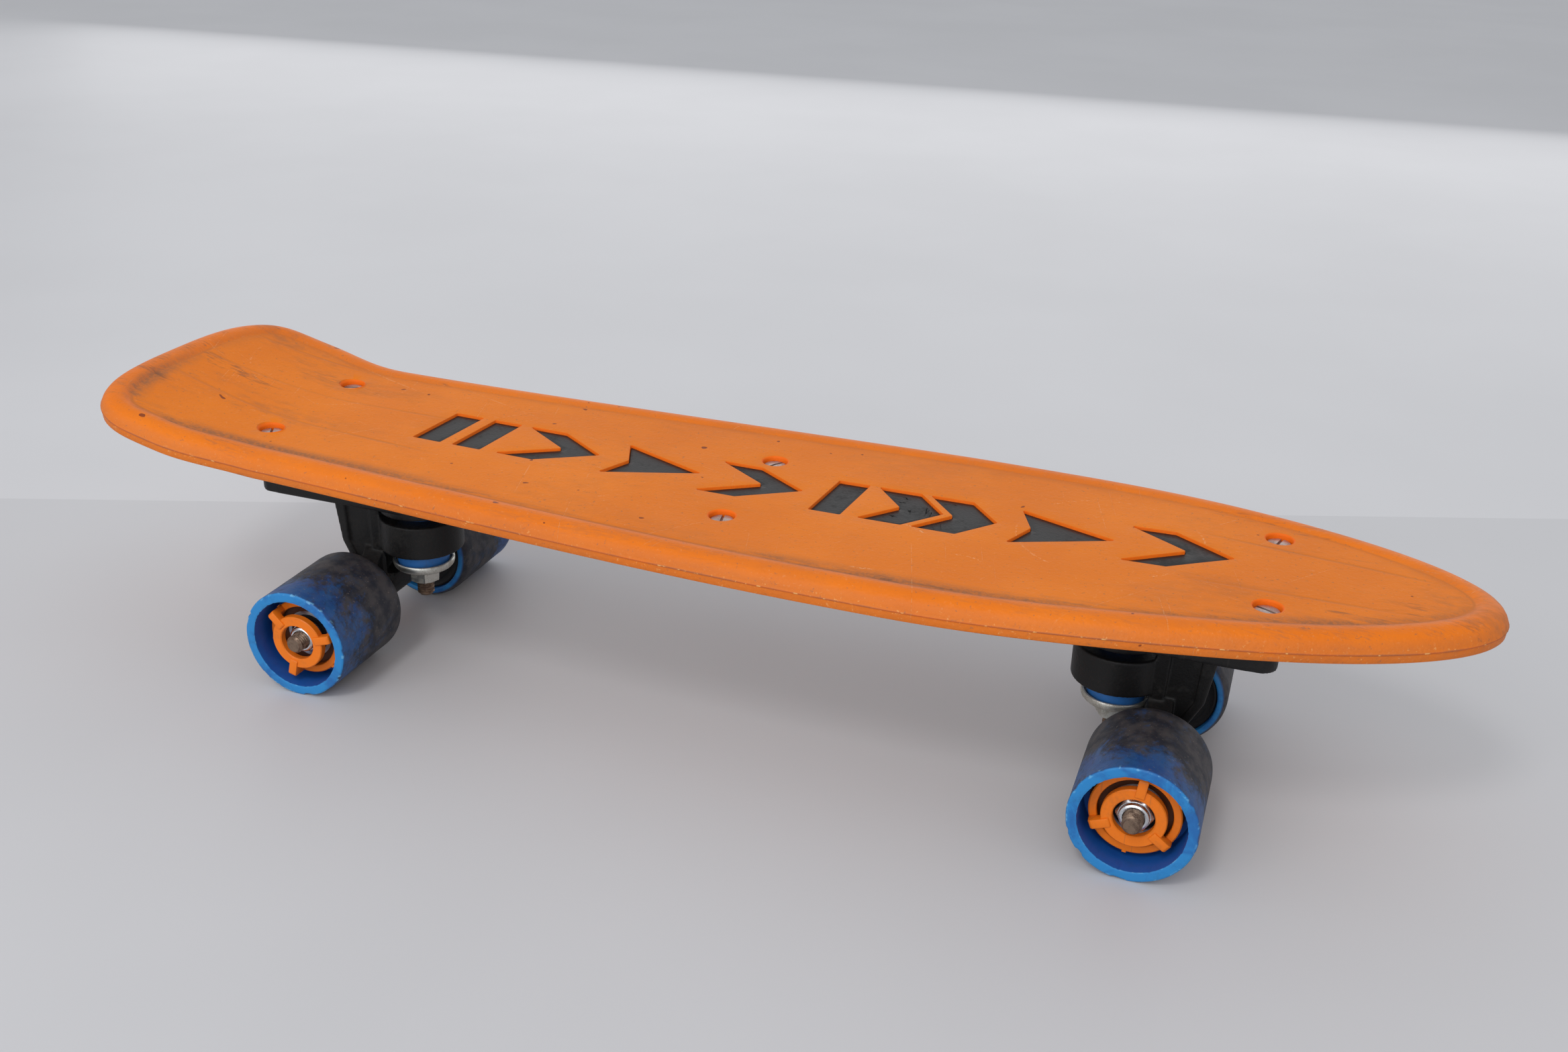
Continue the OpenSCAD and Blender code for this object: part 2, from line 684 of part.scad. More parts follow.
module bearing_balls() {
    color([0.8, 0.8, 0.82]) both_bearings() for (i = [0 : 6])
        rotate([0, 0, i * 360 / 7]) translate([ball_orbit, 0, bearing_w / 2]) sphere(r = ball_r, $fn = 32);
}

module bearing_inner_rings() {
    color([0.7, 0.7, 0.72]) both_bearings() ring_at(2 * race_in, axle_d, bearing_w);
}

module bearing_shields() {
    color([0.15, 0.15, 0.16]) both_bearings() for (z = [0.3, bearing_w - 0.8])
        translate([0, 0, z]) ring_at(2 * race_out, 2 * race_in + 0.8, 0.5);
}

module bearing_spacer() {
    color([0.6, 0.6, 0.62]) translate([0, 0, bearing_depth + bearing_w])
        ring_at(axle_d + 3, axle_d + 2 * running, inner_bearing_z - bearing_depth - bearing_w);
}

// ---- assembly ----
module show(name) {
    children();
}

show("deck") deck();
show("underframe") underframe();
show("deck_screws") deck_screws();
show("deck_screw_nuts") deck_screw_nuts();

for (t = TRUCKS) at_truck(t) {
    show(str(t, "_kingpin")) kingpin();
    show(str(t, "_kingpin_nut")) kingpin_nut();
    show(str(t, "_cup_washer")) cup_washer();
    show(str(t, "_top_washer")) top_washer();
    show(str(t, "_lower_bushing")) lower_bushing();
    show(str(t, "_upper_bushing")) upper_bushing();
    show(str(t, "_pivot_cup")) pivot_cup();
    show(str(t, "_hanger")) hanger();
    show(str(t, "_axle")) axle();
    show(str(t, "_axle_nuts")) axle_nuts();
    show(str(t, "_axle_washers")) axle_washers();
}

for (t = TRUCKS) for (s = SIDES) at_wheel(t, s) {
    show(str(t, "_", s, "_tyre")) tyre();
    show(str(t, "_", s, "_hub")) hub(cage_depth(t), (s == "right" ? -1 : 1) * cage_angle(t, s));
    show(str(t, "_", s, "_dust_cover")) dust_cover();
    show(str(t, "_", s, "_bearing_outer_rings")) bearing_outer_rings();
    show(str(t, "_", s, "_bearing_balls")) bearing_balls();
    show(str(t, "_", s, "_bearing_inner_rings")) bearing_inner_rings();
    show(str(t, "_", s, "_bearing_shields")) bearing_shields();
    show(str(t, "_", s, "_bearing_spacer")) bearing_spacer();
}
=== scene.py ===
import math
import random
import bpy
import bmesh
import numpy as np
from mathutils import Matrix, Vector, kdtree
from mathutils.geometry import delaunay_2d_cdt


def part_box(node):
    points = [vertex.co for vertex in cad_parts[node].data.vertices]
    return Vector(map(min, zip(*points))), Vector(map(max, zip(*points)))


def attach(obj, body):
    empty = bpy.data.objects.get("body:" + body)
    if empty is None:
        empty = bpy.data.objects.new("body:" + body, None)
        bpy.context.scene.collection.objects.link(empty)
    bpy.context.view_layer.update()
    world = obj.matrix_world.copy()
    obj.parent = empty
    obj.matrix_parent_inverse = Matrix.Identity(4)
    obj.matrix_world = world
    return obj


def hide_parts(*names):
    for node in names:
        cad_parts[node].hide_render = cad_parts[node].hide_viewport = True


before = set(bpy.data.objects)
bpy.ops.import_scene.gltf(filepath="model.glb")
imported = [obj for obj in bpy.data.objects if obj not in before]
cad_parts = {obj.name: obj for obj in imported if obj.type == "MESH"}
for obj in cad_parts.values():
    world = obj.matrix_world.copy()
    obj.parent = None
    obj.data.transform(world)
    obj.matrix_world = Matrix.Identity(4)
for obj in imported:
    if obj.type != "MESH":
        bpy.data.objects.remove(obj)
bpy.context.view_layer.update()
print("frame loaded")

mm = 0.001
toMetres = Matrix.Diagonal((mm, mm, mm, 1))
scene = bpy.context.scene

# where the trucks and wheels stand, read from the frame itself
truckNames = ["rear", "front"]
sideNames = ["right", "left"]


def middle(node):
    low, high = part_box(node)
    return [(a + b) / 2 for a, b in zip(low, high)]


axleX = {name: middle(name + "_axle")[0] for name in truckNames}
axleZ = middle("rear_axle")[2]
outerFace = {"right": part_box("rear_right_tyre")[0][1], "left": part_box("rear_left_tyre")[1][1]}


def truckPlace(name):
    turn = Matrix.Identity(4) if name == "rear" else Matrix.Rotation(math.pi, 4, "Z")
    return Matrix.Translation((axleX[name], 0, 0)) @ turn @ toMetres


# local Z runs from a wheel's outer face towards the board
def wheelPlace(name, side):
    turn = Matrix.Rotation(math.radians(-90 if side == "right" else 90), 4, "X")
    return Matrix.Translation((axleX[name], outerFace[side], axleZ)) @ turn @ toMetres


# shapes are pairs: a list of vertices and a list of faces
def turned(profile, count=64, radius=None):
    # radius(angle, r, h) may change the radius as the part goes round
    verts = []
    faces = []
    n = len(profile)
    for i in range(count):
        a = 2 * math.pi * i / count
        for r, h in profile:
            rr = radius(a, r, h) if radius else r
            verts.append((rr * math.cos(a), rr * math.sin(a), h))
    for i in range(count):
        j = (i + 1) % count
        for k in range(n):
            m = (k + 1) % n
            faces.append((i * n + k, j * n + k, j * n + m, i * n + m))
    return verts, faces


def prism(points, low, high):
    # an outline in X and Z, carried along Y
    n = len(points)
    verts = [(x, low, z) for x, z in points] + [(x, high, z) for x, z in points]
    faces = [tuple(range(n)), tuple(range(2 * n - 1, n - 1, -1))]
    for i in range(n):
        j = (i + 1) % n
        faces.append((i, i + n, j + n, j))
    return verts, faces


def moved(part, matrix):
    verts, faces = part
    return [tuple(matrix @ Vector(v)) for v in verts], faces


def joined(parts):
    verts = []
    faces = []
    for v, f in parts:
        faces += [tuple(i + len(verts) for i in face) for face in f]
        verts += v
    return verts, faces


def cleanMesh(mesh, weld=0.0, thin=0.0, turn=True):
    bm = bmesh.new()
    bm.from_mesh(mesh)
    if weld:
        bmesh.ops.remove_doubles(bm, verts=bm.verts, dist=weld)
    if thin:
        bmesh.ops.dissolve_degenerate(bm, edges=bm.edges, dist=thin)
    if turn:
        bmesh.ops.recalc_face_normals(bm, faces=bm.faces)
    openEdges = sum(1 for e in bm.edges if not e.is_manifold)
    bm.to_mesh(mesh)
    bm.free()
    return openEdges


def mergedMesh(name, meshes):
    bm = bmesh.new()
    for mesh in meshes:
        bm.from_mesh(mesh)
    merged = bpy.data.meshes.new(name)
    bm.to_mesh(merged)
    bm.free()
    smoothMesh(merged, 35)
    return merged


def buildMesh(name, part, angle=35, weld=1e-5):
    mesh = bpy.data.meshes.new(name)
    mesh.from_pydata(part[0], [], part[1])
    cleanMesh(mesh, weld, 1e-6)
    smoothMesh(mesh, angle)
    return mesh


def smoothMesh(mesh, angle):
    for polygon in mesh.polygons:
        polygon.use_smooth = True
    mesh.set_sharp_from_angle(angle=math.radians(angle))


def setValues(mesh, **lists):
    for name, values in lists.items():
        mesh.attributes.new(name, "FLOAT", "POINT").data.foreach_set("value", values)


def addObject(name, mesh, material):
    obj = bpy.data.objects.new(name, mesh)
    scene.collection.objects.link(obj)
    mesh.materials.clear()
    mesh.materials.append(material)
    return obj


def finishPiece(obj, body, nodes):
    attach(obj, body)
    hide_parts(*nodes)
    return obj


def applyModifiers(obj):
    graph = bpy.context.evaluated_depsgraph_get()
    graph.update()
    mesh = bpy.data.meshes.new_from_object(obj.evaluated_get(graph), depsgraph=graph)
    obj.modifiers.clear()
    old = obj.data
    obj.data = mesh
    bpy.data.meshes.remove(old)
    return obj


# a smooth-edged plain mesh from a CAD node, remeshed so its edges and inside corners round off
def softCopy(node, name, material, voxel, smoothing, keep=1.0, angle=60):
    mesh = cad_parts[node].data.copy()
    cleanMesh(mesh, 1e-6, turn=False)
    obj = addObject(name, mesh, material)
    remesh = obj.modifiers.new("remesh", "REMESH")
    remesh.mode = "VOXEL"
    remesh.voxel_size = voxel * mm
    remesh.adaptivity = 0
    smooth = obj.modifiers.new("smooth", "SMOOTH")
    smooth.factor = 0.5
    smooth.iterations = smoothing
    if keep < 1:
        thin = obj.modifiers.new("thin", "DECIMATE")
        thin.ratio = keep
    applyModifiers(obj)
    smoothMesh(obj.data, angle)
    return obj


def setInput(tree, node, key, value):
    if isinstance(value, bpy.types.NodeSocket):
        tree.links.new(value, node.inputs[key])
    else:
        node.inputs[key].default_value = value


def addNode(tree, kind, inputs=None, **settings):
    node = tree.nodes.new(kind)
    for key, value in settings.items():
        setattr(node, key, value)
    for key, value in (inputs or {}).items():
        setInput(tree, node, key, value)
    return node


def mathNode(tree, operation, a, b=0.0, c=0.0, clamp=False):
    node = addNode(tree, "ShaderNodeMath", {0: a, 1: b, 2: c}, operation=operation, use_clamp=clamp)
    return node.outputs[0]


def atLeast(tree, values):
    total = values[0]
    for value in values[1:]:
        total = greater(tree, total, value)
    return total


def timesAll(tree, *values):
    total = values[0]
    for value in values[1:]:
        total = mathNode(tree, "MULTIPLY", total, value)
    return total


def greater(tree, a, b):
    return mathNode(tree, "MAXIMUM", a, b)


def timesPlus(tree, a, b, c, clamp=False):
    return mathNode(tree, "MULTIPLY_ADD", a, b, c, clamp)


def plus(tree, a, b):
    return mathNode(tree, "ADD", a, b)


def minus(tree, a, b):
    return mathNode(tree, "SUBTRACT", a, b)


def vectorOf(tree, x=0.0, y=0.0, z=0.0):
    return addNode(tree, "ShaderNodeCombineXYZ", {0: x, 1: y, 2: z}).outputs[0]


def ramp(tree, value, low, high, lowOut=0.0, highOut=1.0):
    inputs = {"Value": value, "From Min": low, "From Max": high, "To Min": lowOut, "To Max": highOut}
    node = addNode(tree, "ShaderNodeMapRange", inputs, interpolation_type="SMOOTHSTEP")
    return node.outputs["Result"]


def blendColour(tree, factor, a, b, mode="MIX"):
    node = addNode(tree, "ShaderNodeMix", data_type="RGBA", blend_type=mode)
    setInput(tree, node, 0, factor)
    setInput(tree, node, 6, a)
    setInput(tree, node, 7, b)
    return node.outputs[2]


def noise(tree, vector, scale, detail=3.0, rough=0.55, distortion=0.0):
    inputs = {"Vector": vector, "Scale": scale, "Detail": detail}
    inputs.update({"Roughness": rough, "Distortion": distortion})
    return addNode(tree, "ShaderNodeTexNoise", inputs).outputs["Fac"]


def stretched(tree, vector, scale, turn=(0, 0, 0), shift=(0, 0, 0)):
    inputs = {"Vector": vector, "Scale": scale, "Rotation": turn, "Location": shift}
    return addNode(tree, "ShaderNodeMapping", inputs).outputs["Vector"]


def attribute(tree, name):
    return addNode(tree, "ShaderNodeAttribute", attribute_name=name).outputs["Fac"]


def sRgb(r, g, b):
    def linear(v):
        v /= 255
        return v / 12.92 if v <= 0.04045 else ((v + 0.055) / 1.055) ** 2.4
    return (linear(r), linear(g), linear(b), 1)


# inputs give each name either its kind of socket or its starting number
def newTree(name, kind, inputs, outputs):
    tree = bpy.data.node_groups.new(name, kind)
    for label, value in inputs.items():
        number = "NodeSocketInt" if isinstance(value, int) else "NodeSocketFloat"
        chosen = value if isinstance(value, str) else number
        socket = tree.interface.new_socket(label, in_out="INPUT", socket_type=chosen)
        if chosen == number:
            socket.default_value = value
    for label, value in outputs.items():
        tree.interface.new_socket(label, in_out="OUTPUT", socket_type=value)
    start = tree.nodes.new("NodeGroupInput")
    end = tree.nodes.new("NodeGroupOutput")
    return tree, start.outputs, end


def maskGroup(name, **inputs):
    inputs = {key.replace("_", " "): value for key, value in inputs.items()}
    return newTree(name, "ShaderNodeTree", inputs, {"Mask": "NodeSocketFloat"})


# patchy dirt: a soft mask that a little fine noise breaks up
def makeDirtGroup():
    tree, given, end = maskGroup(
        "patchyDirt", Vector="NodeSocketVector", Scale=40.0, Low=0.45, High=0.7, Break_Up=0.3)
    big = noise(tree, given["Vector"], given["Scale"], 4, 0.6, 0.4)
    small = noise(tree, given["Vector"], timesAll(tree, given["Scale"], 11.0), 2, 0.6)
    mixed = timesPlus(tree, minus(tree, small, 0.5), given["Break Up"], big)
    setInput(tree, end, "Mask", ramp(tree, mixed, given["Low"], given["High"]))
    return tree


# fine straight scratches in three directions, only in patches
def makeScratchGroup():
    tree, given, end = maskGroup(
        "fineScratches", Vector="NodeSocketVector", Length_Scale=12.0, Width_Scale=900.0, Cut=0.72)
    total = None
    for turn, seed in [(0.35, 0.0), (-0.9, 3.1), (1.3, 7.7)]:
        turnedVector = stretched(tree, given["Vector"], (1, 1, 1), (0, 0, turn), (seed, seed, 0))
        scale = vectorOf(tree, given["Length Scale"], given["Width Scale"], given["Length Scale"])
        scaled = addNode(tree, "ShaderNodeVectorMath", {0: turnedVector, 1: scale}, operation="MULTIPLY")
        lines = noise(tree, scaled.outputs[0], 1.0, 1, 0.4)
        patch = ramp(tree, noise(tree, turnedVector, 22.0, 2), 0.5, 0.62)
        line = ramp(tree, lines, given["Cut"], plus(tree, given["Cut"], 0.04))
        streak = timesAll(tree, line, patch)
        total = streak if total is None else greater(tree, total, streak)
    setInput(tree, end, "Mask", total)
    return tree


# moulded grain: a pebbled height with a little speckle
def makeGrainGroup():
    inputs = {"Vector": "NodeSocketVector", "Grain Size": 1100.0}
    outputs = {"Height": "NodeSocketFloat", "Speckle": "NodeSocketFloat"}
    tree, given, end = newTree("mouldedGrain", "ShaderNodeTree", inputs, outputs)
    inputs = {"Vector": given["Vector"], "Scale": given["Grain Size"], "Randomness": 1.0}
    cells = addNode(tree, "ShaderNodeTexVoronoi", inputs, feature="SMOOTH_F1").outputs["Distance"]
    fine = noise(tree, given["Vector"], timesAll(tree, given["Grain Size"], 0.6), 3, 0.6)
    setInput(tree, end, "Height", timesPlus(tree, cells, -0.5, fine))
    setInput(tree, end, "Speckle", fine)
    return tree


dirtGroup = makeDirtGroup()
scratchGroup = makeScratchGroup()
grainGroup = makeGrainGroup()


def useGroup(tree, group, output, **inputs):
    node = tree.nodes.new("ShaderNodeGroup")
    node.node_tree = group
    for key, value in inputs.items():
        setInput(tree, node, key.replace("_", " "), value)
    return node.outputs[output]


def dirtMask(tree, vector, scale, low, high, breakUp=0.3):
    return useGroup(tree, dirtGroup, "Mask", Vector=vector, Scale=scale, Low=low, High=high, Break_Up=breakUp)


def newMaterial(name, **constants):
    material = bpy.data.materials.new(name)
    material.use_nodes = True
    tree = material.node_tree
    shader = tree.nodes["Principled BSDF"]
    for key, value in constants.items():
        shader.inputs[key.replace("_", " ")].default_value = value
    place = addNode(tree, "ShaderNodeTexCoord").outputs["Object"]
    return material, tree, shader, place


def addBump(tree, shader, height, strength, distance):
    bump = addNode(tree, "ShaderNodeBump", {"Height": height, "Strength": strength, "Distance": distance})
    tree.links.new(bump.outputs["Normal"], shader.inputs["Normal"])


def split(tree, vector):
    return addNode(tree, "ShaderNodeSeparateXYZ", {0: vector}).outputs


deckFinish = {
    "panel": sRgb(230, 122, 12), "rim": sRgb(232, 119, 12), "skirt": sRgb(204, 92, 18),
    "wall": sRgb(240, 108, 6), "dirt": sRgb(118, 92, 74), "soot": sRgb(84, 66, 56),
    "scratch": sRgb(244, 190, 138), "flash": sRgb(252, 202, 128), "spot": sRgb(116, 46, 20),
    "grainSize": 1000.0,
    # faint lines over the ribs: place across the board, drift along it, and from where to where
    "ribLines": [
        (-20.0, -0.07, -297, -135), (12.5, 0.03, -296, -140), (48.0, 0.08, -291, -200),
        (19.0, -0.14, 180, 290), (-19.5, 0.0, 180, 280)],
    # rubbed rings: middle, radius and strength
    "rings": [
        (62, -34, 24, 0.5), (98, -44, 13, 0.5), (150, 8, 38, 0.4),
        (-40, -60, 30, 0.35), (-236, 40, 40, 0.3)],
}


# one thin broken ring on the panel
def makeRingGroup():
    tree, given, end = maskGroup("rubbedRing", X=0.0, Y=0.0, Radius=20.0, Width=0.5, Broken=0.5)
    xx = timesAll(tree, given["X"], given["X"])
    reach = mathNode(tree, "SQRT", timesPlus(tree, given["Y"], given["Y"], xx))
    off = mathNode(tree, "ABSOLUTE", minus(tree, reach, given["Radius"]))
    line = ramp(tree, off, given["Width"], timesAll(tree, given["Width"], 0.3))
    spot = vectorOf(tree, given["X"], given["Y"], given["Radius"])
    parts = ramp(tree, noise(tree, spot, 0.06, 1), given["Broken"], plus(tree, given["Broken"], 0.1))
    dots = ramp(tree, noise(tree, spot, 0.9, 3), 0.48, 0.6)
    setInput(tree, end, "Mask", timesAll(tree, line, parts, dots))
    return tree


ringGroup = makeRingGroup()


def makeDeckMaterial():
    finish = deckFinish
    material, tree, shader, place = newMaterial("deckOrange", Specular_IOR_Level=0.26)
    inset = attribute(tree, "inset")  # millimetres in from the edge
    wall = attribute(tree, "wall")  # 1 on the walls of holes and cut-outs
    xyz = split(tree, place)
    x = timesAll(tree, xyz["X"], 1000.0)
    y = timesAll(tree, xyz["Y"], 1000.0)

    def insetRamp(low, high):
        return ramp(tree, inset, low, high)

    rimPart = insetRamp(14.5, 11.5)
    mottled = noise(tree, place, 12.0, 5, 0.6)
    mottle = addNode(tree, "ShaderNodeCombineColor", {
        0: ramp(tree, mottled, 0.3, 0.7, 0.95, 1.04), 1: ramp(tree, mottled, 0.3, 0.7, 0.91, 1.06),
        2: ramp(tree, mottled, 0.3, 0.7, 0.8, 1.25)}).outputs[0]
    tone = blendColour(tree, rimPart, finish["panel"], finish["rim"])
    tone = blendColour(tree, 1.0, tone, mottle, "MULTIPLY")
    speckle = useGroup(tree, grainGroup, "Speckle", Vector=place, Grain_Size=finish["grainSize"])
    tone = blendColour(tree, ramp(tree, speckle, 0.6, 0.76, 0.0, 0.14), tone, finish["scratch"])
    tone = blendColour(tree, ramp(tree, speckle, 0.38, 0.26, 0.0, 0.45), tone, finish["dirt"])

    # the skirt below the parting line is a little browner
    skirt = timesAll(tree, insetRamp(0.2, 0.02), ramp(tree, wall, 0.6, 0.4))
    tone = blendColour(tree, skirt, tone, finish["skirt"])

    # grey dirt lies in the groove, most of it on the right side, the tail and the nose
    alongVector = stretched(tree, place, (0.3, 1.6, 1))
    band = timesAll(tree, insetRamp(8.0, 12.9), insetRamp(20.0, 14.0))
    ends = greater(tree, ramp(tree, x, -175.0, -255.0), ramp(tree, x, 165.0, 250.0))
    groove = dirtMask(tree, alongVector, 22.0, 0.3, 0.62, 0.45)
    rightSide = ramp(tree, y, 20.0, -45.0, 0.3, 1.0)
    groove = timesAll(tree, band, rightSide, groove, ramp(tree, speckle, 0.35, 0.6, 0.45, 0.75))
    crease = timesAll(tree, insetRamp(12.0, 13.4), insetRamp(15.0, 13.6))
    crease = timesAll(tree, crease, ramp(tree, y, 60.0, -20.0, 0.12, 0.36))
    smudge = dirtMask(tree, stretched(tree, place, (0.6, 1.3, 1)), 17.0, 0.46, 0.8, 0.4)
    smudge = timesAll(tree, smudge, timesPlus(tree, ends, 0.42, 0.16))
    rimDirt = dirtMask(tree, alongVector, 60.0, 0.5, 0.8, 0.5)
    rimDirt = timesAll(tree, rimDirt, insetRamp(12.0, 8.0), timesPlus(tree, ends, 0.25, 0.25))
    edgeDirt = timesAll(tree, insetRamp(4.0, 0.6), noise(tree, alongVector, 110.0, 4, 0.7), 0.4)

    ribMarks = []
    for across, drift, low, high in finish["ribLines"]:
        line = timesPlus(tree, x, -drift, y)
        line = mathNode(tree, "ABSOLUTE", plus(tree, line, drift * (low + high) / 2 - across))
        faded = timesAll(tree, ramp(tree, x, low, low + 12), ramp(tree, x, high, high - 40))
        ribMarks.append(timesAll(tree, ramp(tree, line, 1.5, 0.3), faded))
    uneven = ramp(tree, noise(tree, alongVector, 30.0), 0.3, 0.6, 0.35, 1.0)
    ribMark = timesAll(tree, atLeast(tree, ribMarks), insetRamp(12.5, 14.5), uneven)

    dirt = atLeast(tree, [groove, crease, smudge, rimDirt, edgeDirt, timesAll(tree, ribMark, 0.26)])
    tone = blendColour(tree, dirt, tone, finish["dirt"])
    soot = dirtMask(tree, alongVector, 34.0, 0.62, 0.8, 0.5)
    soot = timesAll(tree, soot, greater(tree, ends, band), 0.55)
    tone = blendColour(tree, soot, tone, finish["soot"])
    spots = ramp(tree, noise(tree, place, 170.0, 1), 0.775, 0.8)
    tone = blendColour(tree, timesAll(tree, spots, 0.85), tone, finish["spot"])

    # pale scratches and rubbed rings
    scratch = useGroup(tree, scratchGroup, "Mask", Vector=place)
    rings = []
    for ringX, ringY, radius, amount in finish["rings"]:
        mask = useGroup(tree, ringGroup, "Mask", X=minus(tree, x, ringX), Y=minus(tree, y, ringY),
                        Radius=radius, Width=0.6, Broken=0.52)
        rings.append(timesAll(tree, mask, amount))
    ringMarks = timesAll(tree, atLeast(tree, rings), insetRamp(13, 15))
    scratches = timesAll(tree, scratch, ramp(tree, speckle, 0.45, 0.55), 0.22)
    tone = blendColour(tree, greater(tree, scratches, ringMarks), tone, finish["scratch"])

    # the parting line, pale burrs along the edge and flecks on the skirt
    parting = ramp(tree, noise(tree, place, 70.0), 0.35, 0.65)
    tone = blendColour(tree, timesAll(tree, insetRamp(0.35, 0.2), parting, 0.35), tone, finish["dirt"])
    burrs = ramp(tree, noise(tree, place, 620.0, 3, 0.7), 0.62, 0.7)
    burrs = timesAll(tree, insetRamp(2.2, 0.2), burrs, 0.35)
    flecks = timesAll(tree, skirt, ramp(tree, noise(tree, place, 260.0, 2), 0.6, 0.68), 0.6)
    tone = blendColour(tree, greater(tree, burrs, flecks), tone, finish["flash"])
    tone = blendColour(tree, timesAll(tree, wall, insetRamp(18, 20)), tone, finish["wall"])
    tree.links.new(tone, shader.inputs["Base Color"])

    rough = timesPlus(tree, rimPart, -0.13, 0.58)
    rough = timesPlus(tree, noise(tree, place, 35.0, 3), 0.12, rough)
    rough = timesPlus(tree, dirt, 0.25, rough, clamp=True)
    tree.links.new(rough, shader.inputs["Roughness"])
    height = useGroup(tree, grainGroup, "Height", Vector=place, Grain_Size=finish["grainSize"])
    layers = [(scratch, -0.6), (ribMark, -1.2), (noise(tree, place, 60.0, 2), 2.0),
              (noise(tree, place, 420.0, 2, 0.6), 1.6)]
    for layer, amount in layers:
        height = timesPlus(tree, layer, amount, height)
    addBump(tree, shader, height, 0.5, 0.0003)
    return material


wheelFinish = {
    "face": sRgb(36, 126, 190), "recess": sRgb(24, 82, 160), "tread": sRgb(32, 92, 156),
    "grime": sRgb(72, 68, 66), "darkGrime": sRgb(38, 38, 42), "chip": sRgb(110, 175, 215),
    "blotch": sRgb(20, 60, 140), "pit": sRgb(130, 118, 108), "faceDirt": sRgb(30, 70, 110),
}


def makeWheelMaterial():
    finish = wheelFinish
    material, tree, shader, place = newMaterial("wheelBlue", Specular_IOR_Level=0.38)
    tread = attribute(tree, "tread")
    tone = blendColour(tree, tread, finish["face"], finish["tread"])
    # the hollow's walls get a darker blue: mostly painted shade, with a somewhat deeper blue of their own
    tone = blendColour(tree, attribute(tree, "hollow"), tone, finish["recess"])
    blotch = noise(tree, place, 70.0, 5, 0.65, 0.6)
    tone = blendColour(tree, ramp(tree, blotch, 0.45, 0.65, 0, 0.5), tone, finish["blotch"])
    # rubbed-in road dirt, thick towards the inner edge and thin by the face
    across = ramp(tree, attribute(tree, "depth"), 0.02, 0.75, -0.09, 0.2)
    fine = noise(tree, place, 520.0, 3, 0.7)
    worn = noise(tree, stretched(tree, place, (1, 0.7, 1)), 62.0, 6, 0.72, 0.5)
    worn = timesPlus(tree, minus(tree, fine, 0.5), 0.35, plus(tree, worn, across))
    dirt = timesAll(tree, ramp(tree, worn, 0.36, 0.62, 0.25, 0.97), tread)
    uneven = ramp(tree, noise(tree, place, 160.0, 4), 0.35, 0.65)
    tone = blendColour(tree, dirt, tone, blendColour(tree, uneven, finish["darkGrime"], finish["grime"]))
    pits = timesAll(tree, ramp(tree, noise(tree, place, 900.0, 2), 0.66, 0.74), tread)
    tone = blendColour(tree, timesAll(tree, pits, 0.5), tone, finish["pit"])
    faceDirt = dirtMask(tree, place, 120.0, 0.55, 0.8)
    tone = blendColour(tree, timesAll(tree, faceDirt, 0.35), tone, finish["faceDirt"])
    chips = ramp(tree, noise(tree, place, 420.0, 2), 0.55, 0.68)
    tone = blendColour(tree, timesAll(tree, attribute(tree, "rimEdge"), chips, 0.7), tone, finish["chip"])
    tree.links.new(tone, shader.inputs["Base Color"])
    tree.links.new(timesPlus(tree, dirt, 0.22, 0.46), shader.inputs["Roughness"])
    height = timesPlus(tree, timesAll(tree, fine, tread), 1.1, timesAll(tree, blotch, 0.6))
    height = minus(tree, height, timesAll(tree, pits, 0.5))
    addBump(tree, shader, height, 0.5, 0.0003)
    return material


def makePlasticMaterial(name, colour, dust, rough, grainSize, bump, dustAmount=0.4, soot=None):
    material, tree, shader, place = newMaterial(name, Specular_IOR_Level=0.28)
    mask = dirtMask(tree, place, 55.0, 0.5, 0.8, 0.5)
    speckle = useGroup(tree, grainGroup, "Speckle", Vector=place, Grain_Size=grainSize)
    tone = blendColour(tree, timesAll(tree, mask, dustAmount), colour, dust)
    tone = blendColour(tree, ramp(tree, speckle, 0.6, 0.8, 0, dustAmount), tone, dust)
    scratch = useGroup(tree, scratchGroup, "Mask", Vector=place, Cut=0.7)
    tone = blendColour(tree, timesAll(tree, scratch, dustAmount), tone, dust)
    # on the hubs this paints shade into the deep end of the barrel
    if soot:
        tone = blendColour(tree, attribute(tree, "sooty"), tone, soot)
    tree.links.new(tone, shader.inputs["Base Color"])
    tree.links.new(timesPlus(tree, mask, 0.2, rough), shader.inputs["Roughness"])
    height = useGroup(tree, grainGroup, "Height", Vector=place, Grain_Size=grainSize)
    addBump(tree, shader, height, bump, 0.0002)
    return material


def makeMetalMaterial(name, colour, stain, rough, stainAmount, bump=0.2, scale=180.0):
    material, tree, shader, place = newMaterial(name)
    mask = timesAll(tree, dirtMask(tree, place, scale, 0.42, 0.68, 0.5), stainAmount)
    tree.links.new(blendColour(tree, mask, colour, stain), shader.inputs["Base Color"])
    tree.links.new(timesPlus(tree, mask, -0.85, 1.0), shader.inputs["Metallic"])
    fine = noise(tree, place, 1500.0, 2)
    rough = timesPlus(tree, fine, 0.12, rough)
    tree.links.new(timesPlus(tree, mask, 0.4, rough, clamp=True), shader.inputs["Roughness"])
    addBump(tree, shader, plus(tree, fine, mask), bump, 0.0001)
    return material


deckOrange = makeDeckMaterial()
wheelBlue = makeWheelMaterial()

# colour, dust, roughness, grain size, bump, dust amount and, on the hubs, the dark colour of the painted
# shade deep in the barrel
plasticFinishes = {
    "hubOrange": (sRgb(232, 118, 22), sRgb(150, 92, 50), 0.42, 1800.0, 0.12, 0.3, sRgb(26, 20, 18)),
    "blackPlastic": (sRgb(19, 18, 18), sRgb(72, 68, 64), 0.46, 1300.0, 0.4, 0.16),
    "coverBlack": (sRgb(26, 26, 28), sRgb(60, 58, 56), 0.5, 1800.0, 0.2, 0.25),
    "bushingBlue": (sRgb(48, 108, 176), sRgb(70, 84, 104), 0.45, 1500.0, 0.15, 0.35),
}
